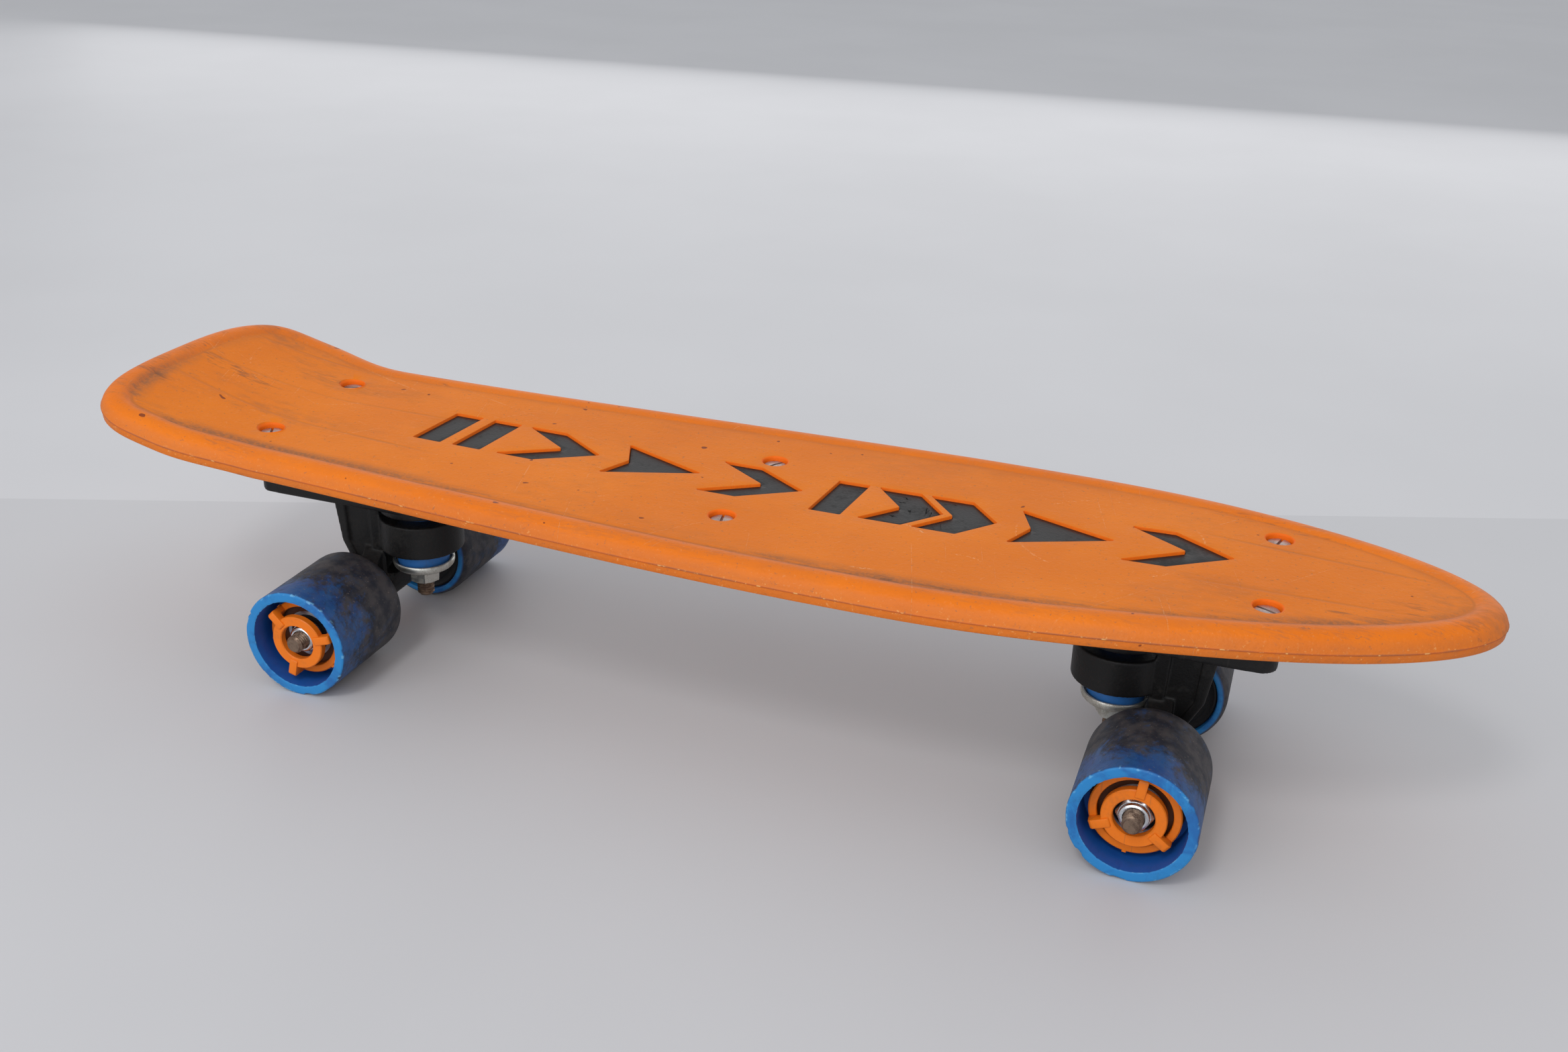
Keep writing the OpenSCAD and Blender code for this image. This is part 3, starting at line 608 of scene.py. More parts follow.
# colour, stain, roughness, stain amount, bump and the stain's scale
metalFinishes = {
    "screwSteel": (sRgb(196, 184, 178), sRgb(150, 100, 80), 0.34, 0.6),
    "zincSteel": (sRgb(205, 205, 198), sRgb(120, 108, 92), 0.36, 0.55),
    "chromeSteel": (sRgb(215, 218, 222), sRgb(90, 84, 80), 0.16, 0.3),
    "rustySteel": (sRgb(140, 120, 104), sRgb(70, 48, 36), 0.45, 0.9, 0.5, 320.0),
    "bearingSteel": (sRgb(190, 190, 192), sRgb(90, 80, 70), 0.25, 0.35),
}
plastics = {name: makePlasticMaterial(name, *values) for name, values in plasticFinishes.items()}
metals = {name: makeMetalMaterial(name, *values) for name, values in metalFinishes.items()}
print("finishes made")


def geometryTree(name, **inputs):
    inputs = {"Geometry": "NodeSocketGeometry", **inputs, "Finish": "NodeSocketMaterial"}
    return newTree(name, "GeometryNodeTree", inputs, {"Geometry": "NodeSocketGeometry"})


def closeTree(tree, geometry, given, end):
    real = addNode(tree, "GeometryNodeRealizeInstances", {"Geometry": geometry})
    painted = addNode(tree, "GeometryNodeSetMaterial", {
        "Geometry": real.outputs[0], "Material": given["Finish"]})
    tree.links.new(painted.outputs[0], end.inputs[0])
    return tree


# copies of the object's own mesh round its Z axis
def makeAroundTree():
    tree, given, end = geometryTree("copiesAround", Count=3)
    points = addNode(tree, "GeometryNodePoints", {"Count": given["Count"]})
    index = addNode(tree, "GeometryNodeInputIndex").outputs[0]
    step = mathNode(tree, "DIVIDE", 2 * math.pi, given["Count"])
    turn = vectorOf(tree, z=timesAll(tree, index, step))
    copies = addNode(tree, "GeometryNodeInstanceOnPoints", {
        "Points": points.outputs[0], "Instance": given["Geometry"], "Rotation": turn})
    return closeTree(tree, copies.outputs[0], given, end)


# copies of a pattern object on each point, turned by the point's own angle
def makePointsTree():
    tree, given, end = geometryTree("copiesOnPoints", Pattern="NodeSocketObject")
    pattern = addNode(tree, "GeometryNodeObjectInfo", {"Object": given["Pattern"]})
    angle = addNode(tree, "GeometryNodeInputNamedAttribute", {"Name": "turn"}, data_type="FLOAT")
    turn = vectorOf(tree, z=angle.outputs[0])
    copies = addNode(tree, "GeometryNodeInstanceOnPoints", {
        "Points": given["Geometry"], "Instance": pattern.outputs["Geometry"], "Rotation": turn})
    return closeTree(tree, copies.outputs[0], given, end)


# a flat-sided rib along every edge chain
def makeRibTree():
    tree, given, end = geometryTree("ribsAlongLines", Width=0.0025, Depth=0.004)
    line = addNode(tree, "GeometryNodeMeshToCurve", {"Mesh": given["Geometry"]})
    section = addNode(tree, "GeometryNodeCurvePrimitiveQuadrilateral", {
        "Width": given["Width"], "Height": given["Depth"]})
    rib = addNode(tree, "GeometryNodeCurveToMesh", {
        "Curve": line.outputs[0], "Profile Curve": section.outputs[0], "Fill Caps": True})
    return closeTree(tree, rib.outputs[0], given, end)


aroundTree = makeAroundTree()
pointsTree = makePointsTree()
ribTree = makeRibTree()


def runTree(obj, tree, **values):
    modifier = obj.modifiers.new(tree.name, "NODES")
    modifier.node_group = tree
    for item in tree.interface.items_tree:
        if item.item_type == "SOCKET" and item.in_out == "INPUT" and item.name in values:
            modifier[item.identifier] = values[item.name]
    applyModifiers(obj)
    cleanMesh(obj.data)
    smoothMesh(obj.data, 35)


deckSizes = {
    "length": 604.0, "width": 155.0, "tailWidth": 139.0, "waistWidth": 130.0, "waistBack": 84.0,
    "kickLength": 94.5, "kickRise": 20.0, "sag": 4.0, "noseRise": 1.5, "cornerLength": 36.0,
    "tailPower": 3.0, "nosePower": 1.85, "waistBlend": 38.0, "widestX": 75.0, "flatFrom": 40.0,
    "flatTo": 90.0, "noseBlend": 110.0, "edgeLow": 95.5, "panelTop": 6.0, "panelUnder": 1.0,
    "loopPoints": 460, "gridStep": 5.0, "gridReach": 80.0, "screwHole": 5.5, "screwY": 32.5,
    "seatDepth": 5.5, "shankHole": 2.75, "pocketRadius": 8.5,
}
tailEnd = -deckSizes["length"] / 2
noseEnd = deckSizes["length"] / 2
waistX = tailEnd + deckSizes["waistBack"]
kickX = tailEnd + deckSizes["kickLength"]
screwRows = [-222.25, -3.5, 215.25]
panelInset = 20  # what the surface value says anywhere on the panel


def smoothStep(t):
    t = min(1, max(0, t))
    return t * t * (3 - 2 * t)


# the height of the deck's edge line: a slight sag, a lift at the nose and the kick at the tail
def edgeHeight(x):
    d = deckSizes
    sagging = min(1, max(0, (d["flatFrom"] - x) / (d["flatFrom"] - kickX))) ** 1.7
    lifted = smoothStep((x - d["flatTo"]) / d["noseBlend"])
    kicked = (max(0, kickX - x) / d["kickLength"]) ** 1.6
    return d["edgeLow"] + d["sag"] * sagging + d["noseRise"] * lifted + d["kickRise"] * kicked


def halfWidth(x):
    d = deckSizes
    waist = d["waistWidth"] / 2
    if x < waistX:
        return waist + (d["tailWidth"] / 2 - waist) * smoothStep((waistX - x) / d["waistBlend"])
    t = min(1, max(0, (x - waistX) / (d["widestX"] - waistX)))
    return waist + (d["width"] / 2 - waist) * smoothStep(t ** 0.8)


def resample(points, count):
    closed = points + [points[0]]
    lengths = [0.0]
    for a, b in zip(closed, closed[1:]):
        lengths.append(lengths[-1] + math.dist(a, b))
    at = np.linspace(0, lengths[-1], count, endpoint=False)
    xs, ys = [np.interp(at, lengths, [p[c] for p in closed]).tolist() for c in (0, 1)]
    return list(zip(xs, ys))


# the tail's corners, the waist and the nose are separate curves along one side
def deckOutline():
    d = deckSizes
    cornerX = tailEnd + d["cornerLength"]
    noseLength = noseEnd - d["widestX"]
    side = []
    for i in range(61):
        a = math.radians(90 - 1.5 * i)
        x = cornerX - d["cornerLength"] * math.sin(a) ** (2 / d["tailPower"])
        side.append((x, d["tailWidth"] / 2 * math.cos(a) ** (2 / d["tailPower"])))
    for i in range(1, 120):
        x = cornerX + i * (d["widestX"] - cornerX) / 120
        side.append((x, halfWidth(x)))
    for i in range(91):
        a = math.radians(i)
        x = d["widestX"] + noseLength * math.sin(a) ** (2 / d["nosePower"])
        side.append((x, d["width"] / 2 * math.cos(a)))
    # anticlockwise seen from above: along the right side to the nose, then back along the left
    right = [(x, -y) for x, y in side]
    return resample(right + side[::-1][1:-1], d["loopPoints"])


def normals(points):
    n = len(points)
    out = []
    for i in range(n):
        ax, ay = points[i - 1]
        bx, by = points[(i + 1) % n]
        dx, dy = bx - ax, by - ay
        size = math.hypot(dx, dy) or 1
        out.append((dy / size, -dx / size))
    return out


def grown(points, distance):
    # an anticlockwise loop grows for a positive distance
    return [(x + nx * distance, y + ny * distance)
            for (x, y), (nx, ny) in zip(points, normals(points))]


def area(points):
    return sum(a[0] * b[1] - b[0] * a[1] for a, b in zip(points, points[1:] + points[:1])) / 2


def roundCorners(points, radius, steps=5, spacing=2.5):
    if area(points) < 0:
        points = points[::-1]
    out = []
    n = len(points)
    for i in range(n):
        p = Vector(points[i])
        a = (Vector(points[i - 1]) - p).normalized()
        b = (Vector(points[(i + 1) % n]) - p).normalized()
        half = a.angle(b) / 2
        reach = radius / math.tan(half)
        centre = p + (a + b).normalized() * radius / math.sin(half)
        start = p + a * reach
        stop = p + b * reach
        for k in range(steps + 1):
            chord = start.lerp(stop, k / steps) - centre
            out.append(tuple(centre + chord.normalized() * radius))
    filled = []
    for a, b in zip(out, out[1:] + out[:1]):
        parts = max(1, int(math.dist(a, b) / spacing))
        filled += [(a[0] + (b[0] - a[0]) * k / parts, a[1] + (b[1] - a[1]) * k / parts)
                   for k in range(parts)]
    return filled


emblemSizes = {
    "height": 35.0, "middleY": 5.5, "stroke": 14.0, "slant": 3.0, "chevronStroke": 19.0, "corner": 0.7,
    "bars": [-162, -142, 27], "longChevrons": [-121, -25, 156], "shortChevrons": [48, 71],
    "darts": [-70, 111], "longChevron": 44.0, "shortChevron": 33.0, "dart": 42.0,
    "padGap": 0.3, "padTop": 4.8, "padLow": -1.0,
}


# ten plain speed marks, each an outline that starts at its place along the board
def emblemOutlines():
    e = emblemSizes
    h, s, c = e["height"], e["stroke"], e["chevronStroke"]
    y0 = e["middleY"] - h / 2

    def bar(w):
        return [(0, 0), (w, 0), (w + e["slant"], h), (e["slant"], h)]

    def chevron(w):
        return [(0, 0), (c, 0), (w, h / 2), (c, h), (0, h), (w - c, h / 2)]

    def dart(w):
        return [(0, 0), (w, h / 2), (0, h), (s / 2, h / 2)]

    marks = [(x, bar(s)) for x in e["bars"]]
    marks += [(x, chevron(e["longChevron"])) for x in e["longChevrons"]]
    marks += [(x, chevron(e["shortChevron"])) for x in e["shortChevrons"]]
    marks += [(x, dart(e["dart"])) for x in e["darts"]]
    return [roundCorners([(x + px, y0 + py) for px, py in shape], e["corner"])
            for x, shape in sorted(marks)]


# which points lie inside a loop, by counting the edges a ray crosses
def insideMask(points, loop):
    px = points[:, 0][:, None]
    py = points[:, 1][:, None]
    a = np.array(loop)
    b = np.roll(a, -1, axis=0)
    crosses = (a[:, 1] > py) != (b[:, 1] > py)
    rise = np.where(np.abs(b[:, 1] - a[:, 1]) < 1e-12, 1e-12, b[:, 1] - a[:, 1])
    at = (b[:, 0] - a[:, 0]) * (py - a[:, 1]) / rise + a[:, 0]
    return (np.sum(crosses & (px < at), axis=1) % 2) == 1


# a surface of rings and sheets; each vertex, in millimetres, carries the deck's two surface values
class Shell:
    def __init__(self):
        self.verts = []
        self.inset = []
        self.wall = []
        self.faces = []

    def vertex(self, x, y, z, inset, wall=0.0):
        self.verts.append((x, y, z))
        self.inset.append(inset)
        self.wall.append(wall)
        return len(self.verts) - 1

    def loop(self, points, height, inset, wall=0.0, follow=True):
        return [self.vertex(x, y, height + (edgeHeight(x) if follow else 0), inset, wall)
                for x, y in points]

    def band(self, a, b):
        n = len(a)
        for i in range(n):
            j = (i + 1) % n
            self.faces.append((a[i], a[j], b[j], b[i]))

    def bands(self, loops):
        for a, b in zip(loops, loops[1:]):
            self.band(a, b)

    def sheet(self, outer, holes, height, inset, step):
        rings = [outer] + holes
        index = [i for ring in rings for i in ring]
        flat = [self.verts[i][:2] for i in index]
        outlines = [[self.verts[i][:2] for i in ring] for ring in rings]
        edges = []
        first = 0
        for ring in rings:
            n = len(ring)
            edges += [(first + k, first + (k + 1) % n) for k in range(n)]
            first += n

        def inside(points):
            found = insideMask(points, outlines[0])
            for hole in outlines[1:]:
                found &= ~insideMask(points, hole)
            return found

        xs = np.arange(tailEnd, noseEnd, step)
        ys = np.arange(-deckSizes["gridReach"], deckSizes["gridReach"], step)
        grid = np.array([(x + (step / 2 if j % 2 else 0), y) for j, y in enumerate(ys) for x in xs])
        tree = kdtree.KDTree(len(flat))
        for i, (x, y) in enumerate(flat):
            tree.insert((x, y, 0), i)
        tree.balance()
        inner = [tuple(p) for p in grid[inside(grid)] if tree.find((p[0], p[1], 0))[2] > step * 0.6]
        coords = [Vector(p) for p in flat + inner]
        outVerts, _, outFaces, fromVerts, _, _ = delaunay_2d_cdt(coords, edges, [], 0, 1e-5, True)
        place = []
        for p, sources in zip(outVerts, fromVerts):
            if sources and sources[0] < len(index):
                place.append(index[sources[0]])
            else:
                place.append(self.vertex(p.x, p.y, edgeHeight(p.x) + height, inset))
        centres = np.array([[sum(outVerts[i][c] for i in f) / 3 for c in (0, 1)] for f in outFaces])
        for face, ok in zip(outFaces, inside(centres)):
            if ok:
                self.faces.append(tuple(place[i] for i in face))

    def inMetres(self):
        return [(x * mm, y * mm, z * mm) for x, y, z in self.verts], self.faces


def circle(x, y, r, count=40):
    angles = [2 * math.pi * i / count for i in range(count)]
    return [(x + r * math.cos(a), y + r * math.sin(a)) for a in angles]


# the rim's section from the panel outwards and down: distance in from the edge, height over its line
rimSection = [
    (16.5, 6.0), (15.2, 5.96), (14.3, 5.84), (13.5, 5.72), (12.9, 5.78), (12.3, 6.05), (11.5, 6.5),
    (10.3, 6.88), (8.8, 7.0), (7.0, 6.85), (5.2, 6.25), (3.5, 5.3), (2.1, 4.05), (1.1, 2.6), (0.55, 1.3),
    (0.3, 0.45), (0.05, 0.16), (0.05, -0.16), (0.35, -0.45), (0.45, -1.5), (0.55, -3.4), (0.9, -3.85),
    (1.6, -4.0), (3.4, -4.0), (3.9, -3.7), (4.0, -3.0), (4.0, 0.4), (4.5, 1.0)]


def makeDeck():
    d = deckSizes
    shell = Shell()
    outline = deckOutline()
    rings = [shell.loop(grown(outline, -inset), height, inset) for inset, height in rimSection]
    shell.bands(rings)
    top = []
    under = []
    for shape in emblemOutlines():
        chain = [shell.loop(grown(shape, out), d["panelTop"] - drop, panelInset, wall)
                 for out, drop, wall in [(0.35, 0.0, 0.0), (0.1, 0.08, 0.5), (0.0, 0.35, 1.0)]]
        chain.append(shell.loop(shape, d["panelUnder"], panelInset, 1.0))
        shell.bands(chain[::-1])
        top.append(chain[0])
        under.append(chain[-1])
    for x in screwRows:
        panel = edgeHeight(x) + d["panelTop"]
        seat = panel - d["seatDepth"]
        floor = seat - 2.5
        hole, shank, pocket = d["screwHole"], d["shankHole"], d["pocketRadius"]
        # radius and height, down through the hole and the nut's pocket
        steps = [(hole + 0.45, panel - 0.1), (hole + 0.12, panel - 0.42), (hole, panel - 1.0), (hole, seat),
                 (shank, seat), (shank, floor), (pocket - 0.2, floor), (pocket, floor + 0.2)]
        for y in (-d["screwY"], d["screwY"]):
            chain = [shell.loop(circle(x, y, hole + 0.9), d["panelTop"], panelInset)]
            chain += [shell.loop(circle(x, y, r), z, panelInset, 1.0, False) for r, z in steps]
            chain.append(shell.loop(circle(x, y, pocket), d["panelUnder"], panelInset))
            shell.bands(chain[::-1])
            top.append(chain[0])
            under.append(chain[-1])
    shell.sheet(rings[0], top, d["panelTop"], panelInset, d["gridStep"])
    shell.sheet(rings[-1], under, d["panelUnder"], panelInset, d["gridStep"] * 1.5)
    verts, faces = shell.inMetres()
    mesh = bpy.data.meshes.new("deckShell")
    mesh.from_pydata(verts, [], faces)
    setValues(mesh, inset=shell.inset, wall=shell.wall)
    openEdges = cleanMesh(mesh, 1e-7)
    smoothMesh(mesh, 40)
    print("deck shell:", len(mesh.polygons), "faces,", openEdges, "open edges")
    return addObject("deckShell", mesh, deckOrange)


finishPiece(makeDeck(), "board", ["deck"])


ribSizes = {
    "width": 2.5, "depth": 4.0, "middle": -0.8, "sideY": 41.5, "step": 6.0,
    "firstCross": -202.25, "lastCross": 196.0, "crossStep": 45.0,
    "tailYs": [-22, 12], "tailTo": -230.0, "noseYs": [-19.5, 18], "noseFrom": 223.0,
}


# ribs under the panel: a chain of edges for each, which a tree then thickens
def makeRibs():
    d = deckSizes
    ribs = ribSizes
    lines = []

    def reach(x):
        if x > d["widestX"]:
            t = min(1, (x - d["widestX"]) / (noseEnd - d["widestX"]))
            return d["width"] / 2 * math.sqrt(max(0, 1 - t ** d["nosePower"]))
        if x < tailEnd + d["cornerLength"]:
            t = min(1, (tailEnd + d["cornerLength"] - x) / d["cornerLength"])
            return d["tailWidth"] / 2 * max(0, 1 - t ** d["tailPower"]) ** (1 / d["tailPower"])
        return halfWidth(x)

    def lengthwise(y, low, high):
        points = []
        x = low
        while x <= high:
            if reach(x) - 3 > abs(y):
                points.append((x, y, edgeHeight(x) + ribs["middle"]))
            x += ribs["step"]
        return points

    for side in (-1, 1):
        lines.append(lengthwise(side * ribs["sideY"], tailEnd + 3, noseEnd - 3))
        x = ribs["firstCross"]
        while x < ribs["lastCross"]:
            y0, y1 = side * (ribs["sideY"] - 1), side * (reach(x) - 2.5)
            z = edgeHeight(x) + ribs["middle"]
            lines.append([(x, y0, z), (x, (y0 + y1) / 2, z), (x, y1, z)])
            x += ribs["crossStep"]
    lines += [lengthwise(y, tailEnd + 3, ribs["tailTo"]) for y in ribs["tailYs"]]
    lines += [lengthwise(y, ribs["noseFrom"], noseEnd - 4) for y in ribs["noseYs"]]
    verts = []
    edges = []
    for line in lines:
        edges += [(len(verts) + i, len(verts) + i + 1) for i in range(len(line) - 1)]
        verts += [(x * mm, y * mm, z * mm) for x, y, z in line]
    mesh = bpy.data.meshes.new("deckRibs")
    mesh.from_pydata(verts, edges, [])
    obj = addObject("deckRibs", mesh, deckOrange)
    runTree(obj, ribTree, Width=ribs["width"] * mm, Depth=ribs["depth"] * mm, Finish=deckOrange)
    setValues(obj.data, inset=[float(panelInset)] * len(obj.data.vertices))
    return obj


finishPiece(makeRibs(), "board", ["deck"])
print("deck and ribs made")

underframe = softCopy("underframe", "underframeMoulding", plastics["blackPlastic"], 1.0, 2, 0.35)
finishPiece(underframe, "board", ["underframe"])


# the black pads in the cut-outs, with crisp edges
def makePads():
    e = emblemSizes
    shell = Shell()
    for shape in emblemOutlines():
        edge = [(0.3, e["padTop"]), (0.08, e["padTop"] - 0.08), (0, e["padTop"] - 0.3), (0, e["padLow"])]
        loops = [shell.loop(grown(shape, -e["padGap"] - inwards), z, panelInset) for inwards, z in edge]
        shell.bands(loops)
        shell.sheet(loops[0], [], e["padTop"], panelInset, deckSizes["gridStep"])
        shell.sheet(loops[-1], [], e["padLow"], panelInset, deckSizes["gridStep"])
    mesh = buildMesh("emblemPads", shell.inMetres(), weld=0)
    return addObject("emblemPads", mesh, plastics["blackPlastic"])


finishPiece(makePads(), "board", ["underframe"])
print("underframe made:", len(underframe.data.polygons), "faces")

screwSizes = {
    "headRadius": 5.1, "headHeight": 3.7, "slotWidth": 1.2, "slotDepth": 1.4, "shankRadius": 2.5,
    "threadDepth": 0.3, "endTip": -18.5, "middleTip": -10.5, "turns": [0.5, 1.9, 0.2, 2.6, 1.1, 2.9],
}


# one head, its slot cut out of it, for the copies
def slottedHead():
    s = screwSizes
    r, h = s["headRadius"], s["headHeight"]
    w, d = s["slotWidth"] / 2, s["slotDepth"]
    steel = metals["screwSteel"]
    profile = [
        (0.001, -1), (r - 0.2, 0), (r, 0.2), (r, h - 0.7), (r - 0.25, h - 0.25), (r - 0.8, h),
        (0.001, h + 0.15)]
    pattern = addObject("screwPattern", buildMesh("screwPattern", turned(profile, 48)), steel)
    slot = prism([(-w, h - d), (w, h - d), (w, h + 2), (-w, h + 2)], -r - 1, r + 1)
    cutter = addObject("slotCutter", buildMesh("slotCutter", slot), steel)
    pattern.data.transform(toMetres)
    cutter.data.transform(toMetres)
    cut = pattern.modifiers.new("slot", "BOOLEAN")
    cut.object = cutter
    cut.operation = "DIFFERENCE"
    cut.solver = "EXACT"
    applyModifiers(pattern)
    bpy.data.objects.remove(cutter)
    return pattern


def makeScrews():
    s = screwSizes
    steel = metals["screwSteel"]
    pattern = slottedHead()
    spots = []
    shanks = []
    thin, full = s["shankRadius"] - s["threadDepth"], s["shankRadius"]
    for row, x in enumerate(screwRows):
        tip = s["middleTip"] if row == 1 else s["endTip"]
        z = edgeHeight(x) + deckSizes["panelTop"] - deckSizes["seatDepth"]
        profile = [(0.0001, tip), (thin, tip), (full, tip + 0.4)]
        profile += [(full if i % 2 else thin, tip + 0.5 + 0.4 * i) for i in range(1, 14)]
        profile += [(full, tip + 6.5), (full, 0.2), (0.0001, 0.2)]
        for y in (-deckSizes["screwY"], deckSizes["screwY"]):
            spots.append((x * mm, y * mm, z * mm))
            shanks.append(moved(turned(profile, 24), Matrix.Translation(spots[-1]) @ toMetres))
    mesh = bpy.data.meshes.new("deckScrewHeads")
    mesh.from_pydata(spots, [], [])
    setValues(mesh, turn=s["turns"])
    screws = addObject("deckScrewHeads", mesh, steel)
    runTree(screws, pointsTree, Pattern=pattern, Finish=steel)
    bpy.data.objects.remove(pattern)
    shankMesh = buildMesh("deckScrewShanks", joined(shanks), weld=0)
    screws.data = mergedMesh("deckScrewHeads", [screws.data, shankMesh])
    screws.data.materials.append(steel)
    return screws


finishPiece(makeScrews(), "board", ["deck_screws"])


# a hexagonal nut with rounded-off corners, as a turned shape whose radius follows the flats
def hexNut(flats, height, bore, chamfer=0.9, count=96):
    def radius(angle, r, h):
        if r <= bore:
            return r
        return min(r, flats / 2 / math.cos((angle % (math.pi / 3)) - math.pi / 6))

    corner = flats / 2 / math.cos(math.pi / 6)
    # from the middle of the height down to the bore; the other half is its mirror
    lower = [(corner + 1, chamfer), (corner - 0.1, chamfer * 0.6), (flats / 2 * 0.96, 0), (bore + 0.4, 0),
             (bore, 0.3)]
    profile = lower[::-1] + [(r, height - h) for r, h in lower]
    return turned(profile, count, radius)


def threadedEnd(radius, low, high, pitch=1.25):
    # ridge rings on the outside, from the tip upwards
    profile = [(0.0001, low), (radius - 1.0, low), (radius - 0.7, low + 0.5)]
    valley = radius - 0.62
    z = low + 0.6
    while z + pitch < high:
        profile += [(valley, z), (radius, z + pitch * 0.45), (radius, z + pitch * 0.6), (valley, z + pitch)]
        z += pitch
    return profile


truckSizes = {
    "kingpinIn": 19.5, "kingpinRadius": 4.0, "kingpinLow": 18.7, "headLow": 84.0, "headHeight": 5.3,
    "nutFlats": 13.0, "nutLow": 26.5, "nutHeight": 7.5,
    "cupLow": 34.0, "cupHeight": 4.3, "cupRadius": 14.5, "cupWall": 1.6,
    "bushingRadius": 12.2, "bushingBore": 4.25, "lowerBushing": (35.8, 51.0),
    "upperRadius": 10.0, "upperBushing": (55.0, 64.4),
    "axleHeight": 25.0, "axleHalf": 78.7, "axleRadius": 4.0, "axleThread": 11.4, "wheelFace": 78.0,
    "axleNut": (7.0, 4.0), "washerRadius": 6.0, "outerWasher": 11.0, "innerWasher": 38.0,
}


def truckPiece(truck, name, part, material, body, node, angle=35):
    mesh = buildMesh(truck + name, part, angle)
    mesh.transform(truckPlace(truck))
    return finishPiece(addObject(truck + name, mesh, material), body, [truck + "_" + node])


# here a pair is a radius and a height over the floor; a round piece is turned from such an outline
def makeTruck(truck):
    t = truckSizes
    own = truck + "_truck"
    zinc, rusty, blue = metals["zincSteel"], metals["rustySteel"], plastics["bushingBlue"]
    black = plastics["blackPlastic"]
    hanger = softCopy(truck + "_hanger", truck + "HangerMoulding", black, 0.55, 3)
    finishPiece(hanger, own, [truck + "_hanger"])

    def atKingpin(part, height=0.0):
        return moved(part, Matrix.Translation((t["kingpinIn"], 0, height)))

    r, top = t["kingpinRadius"], t["headLow"] + 0.5
    pin = threadedEnd(r, t["kingpinLow"], t["cupLow"] - 1) + [(r, t["cupLow"]), (r, top), (0.0001, top)]
    head = atKingpin(hexNut(t["nutFlats"], t["headHeight"], 0.0001), t["headLow"])
    pin = joined([atKingpin(turned(pin, 40)), head])
    truckPiece(truck, "KingpinBolt", pin, rusty, "board", "kingpin", 25)
    nut = atKingpin(hexNut(t["nutFlats"], t["nutHeight"], r), t["nutLow"])
    truckPiece(truck, "KingpinLockNut", nut, zinc, "board", "kingpin_nut", 25)

    r, low, high, w = t["cupRadius"], t["cupLow"], t["cupLow"] + t["cupHeight"], t["cupWall"]
    cup = [
        (4.05, low + 0.2), (4.3, low), (r - 2.6, low), (r - 1.2, low + 0.45), (r - 0.35, low + 1.4),
        (r, low + 2.6), (r, high - 0.3), (r - 0.3, high), (r - 1.0, high), (r - 1.3, high - 0.3),
        (r - 1.35, low + 2.8), (r - 1.8, low + 2.0), (r - 2.8, low + w), (4.3, low + w),
        (4.05, low + w - 0.2)]
    cup = atKingpin(turned(cup, 72))
    truckPiece(truck, "BushingCup", cup, zinc, "board", "cup_washer", 45)

    b, bore = t["bushingRadius"], t["bushingBore"]
    low, high = t["lowerBushing"]
    lower = [
        (bore, low + 0.3), (bore + 0.35, low), (b - 0.8, low), (b - 0.2, low + 0.5), (b, low + 1.7),
        (b, low + 5.2), (b - 0.05, low + 9.2), (b - 0.15, high - 0.6), (b - 0.6, high),
        (bore + 0.35, high), (bore, high - 0.3)]
    b = t["upperRadius"]
    low, high = t["upperBushing"]
    upper = [
        (bore, low + 0.2), (bore + 0.35, low), (b - 0.5, low), (b, low + 0.5), (b, high - 0.5),
        (b - 0.5, high), (bore + 0.35, high), (bore, high - 0.2)]
    for name, profile, node in [("LowerBushingBlock", lower, "lower_bushing"),
                                ("UpperBushingBlock", upper, "upper_bushing")]:
        block = atKingpin(turned(profile, 64))
        truckPiece(truck, name, block, blue, "board", node, 45)

    # the axle is a plain bar with threaded ends, drawn along Z and laid across the board
    half, r = t["axleHalf"], t["axleRadius"]
    ends = threadedEnd(r, -half, t["axleThread"] - half)
    profile = ends + [(r, 12 - half), (r, half - 12)] + [(rr, -zz) for rr, zz in reversed(ends)]
    across = Matrix.Translation((0, 0, t["axleHeight"])) @ Matrix.Rotation(math.pi / 2, 4, "X")
    axle = moved(turned(profile, 40), across)
    truckPiece(truck, "AxleBar", axle, rusty, own, "axle", 25)

    nuts = []
    washers = []
    nutLow, nutHeight = t["axleNut"]
    wide, outer, inner = t["washerRadius"], t["outerWasher"], t["innerWasher"]
    collar = [(4.4, 5.0), (5.0, 5.0), (5.7, 5.4), (wide, 6.1), (wide, 8.0), (r, 8.0), (r, 5.3)]
    washer = [
        (r, outer), (wide - 0.1, outer), (wide, outer + 0.2), (wide, outer + 0.8),
        (wide - 0.1, outer + 1), (r, outer + 1)]
    for side in (-1, 1):
        place = Matrix.Translation((0, side * t["wheelFace"], t["axleHeight"]))
        turn = place @ Matrix.Rotation(side * math.pi / 2, 4, "X")
        hexagon = hexNut(t["nutFlats"], nutHeight, r, 1.0)
        hexagon = moved(hexagon, Matrix.Translation((0, 0, nutLow)))
        nuts.append(moved(joined([hexagon, turned(collar, 64)]), turn))
        spacer = turned([(r, inner), (wide, inner), (wide, inner + 1), (r, inner + 1)], 40)
        washers.append(moved(joined([turned(washer, 48), spacer]), turn))
    chrome = metals["chromeSteel"]
    truckPiece(truck, "AxleLockNuts", joined(nuts), chrome, own, "axle_nuts", 25)
    truckPiece(truck, "AxleWasherPair", joined(washers), zinc, own, "axle_washers")
    print(truck, "truck made:", len(hanger.data.polygons), "hanger faces")


for truck in truckNames:
    makeTruck(truck)

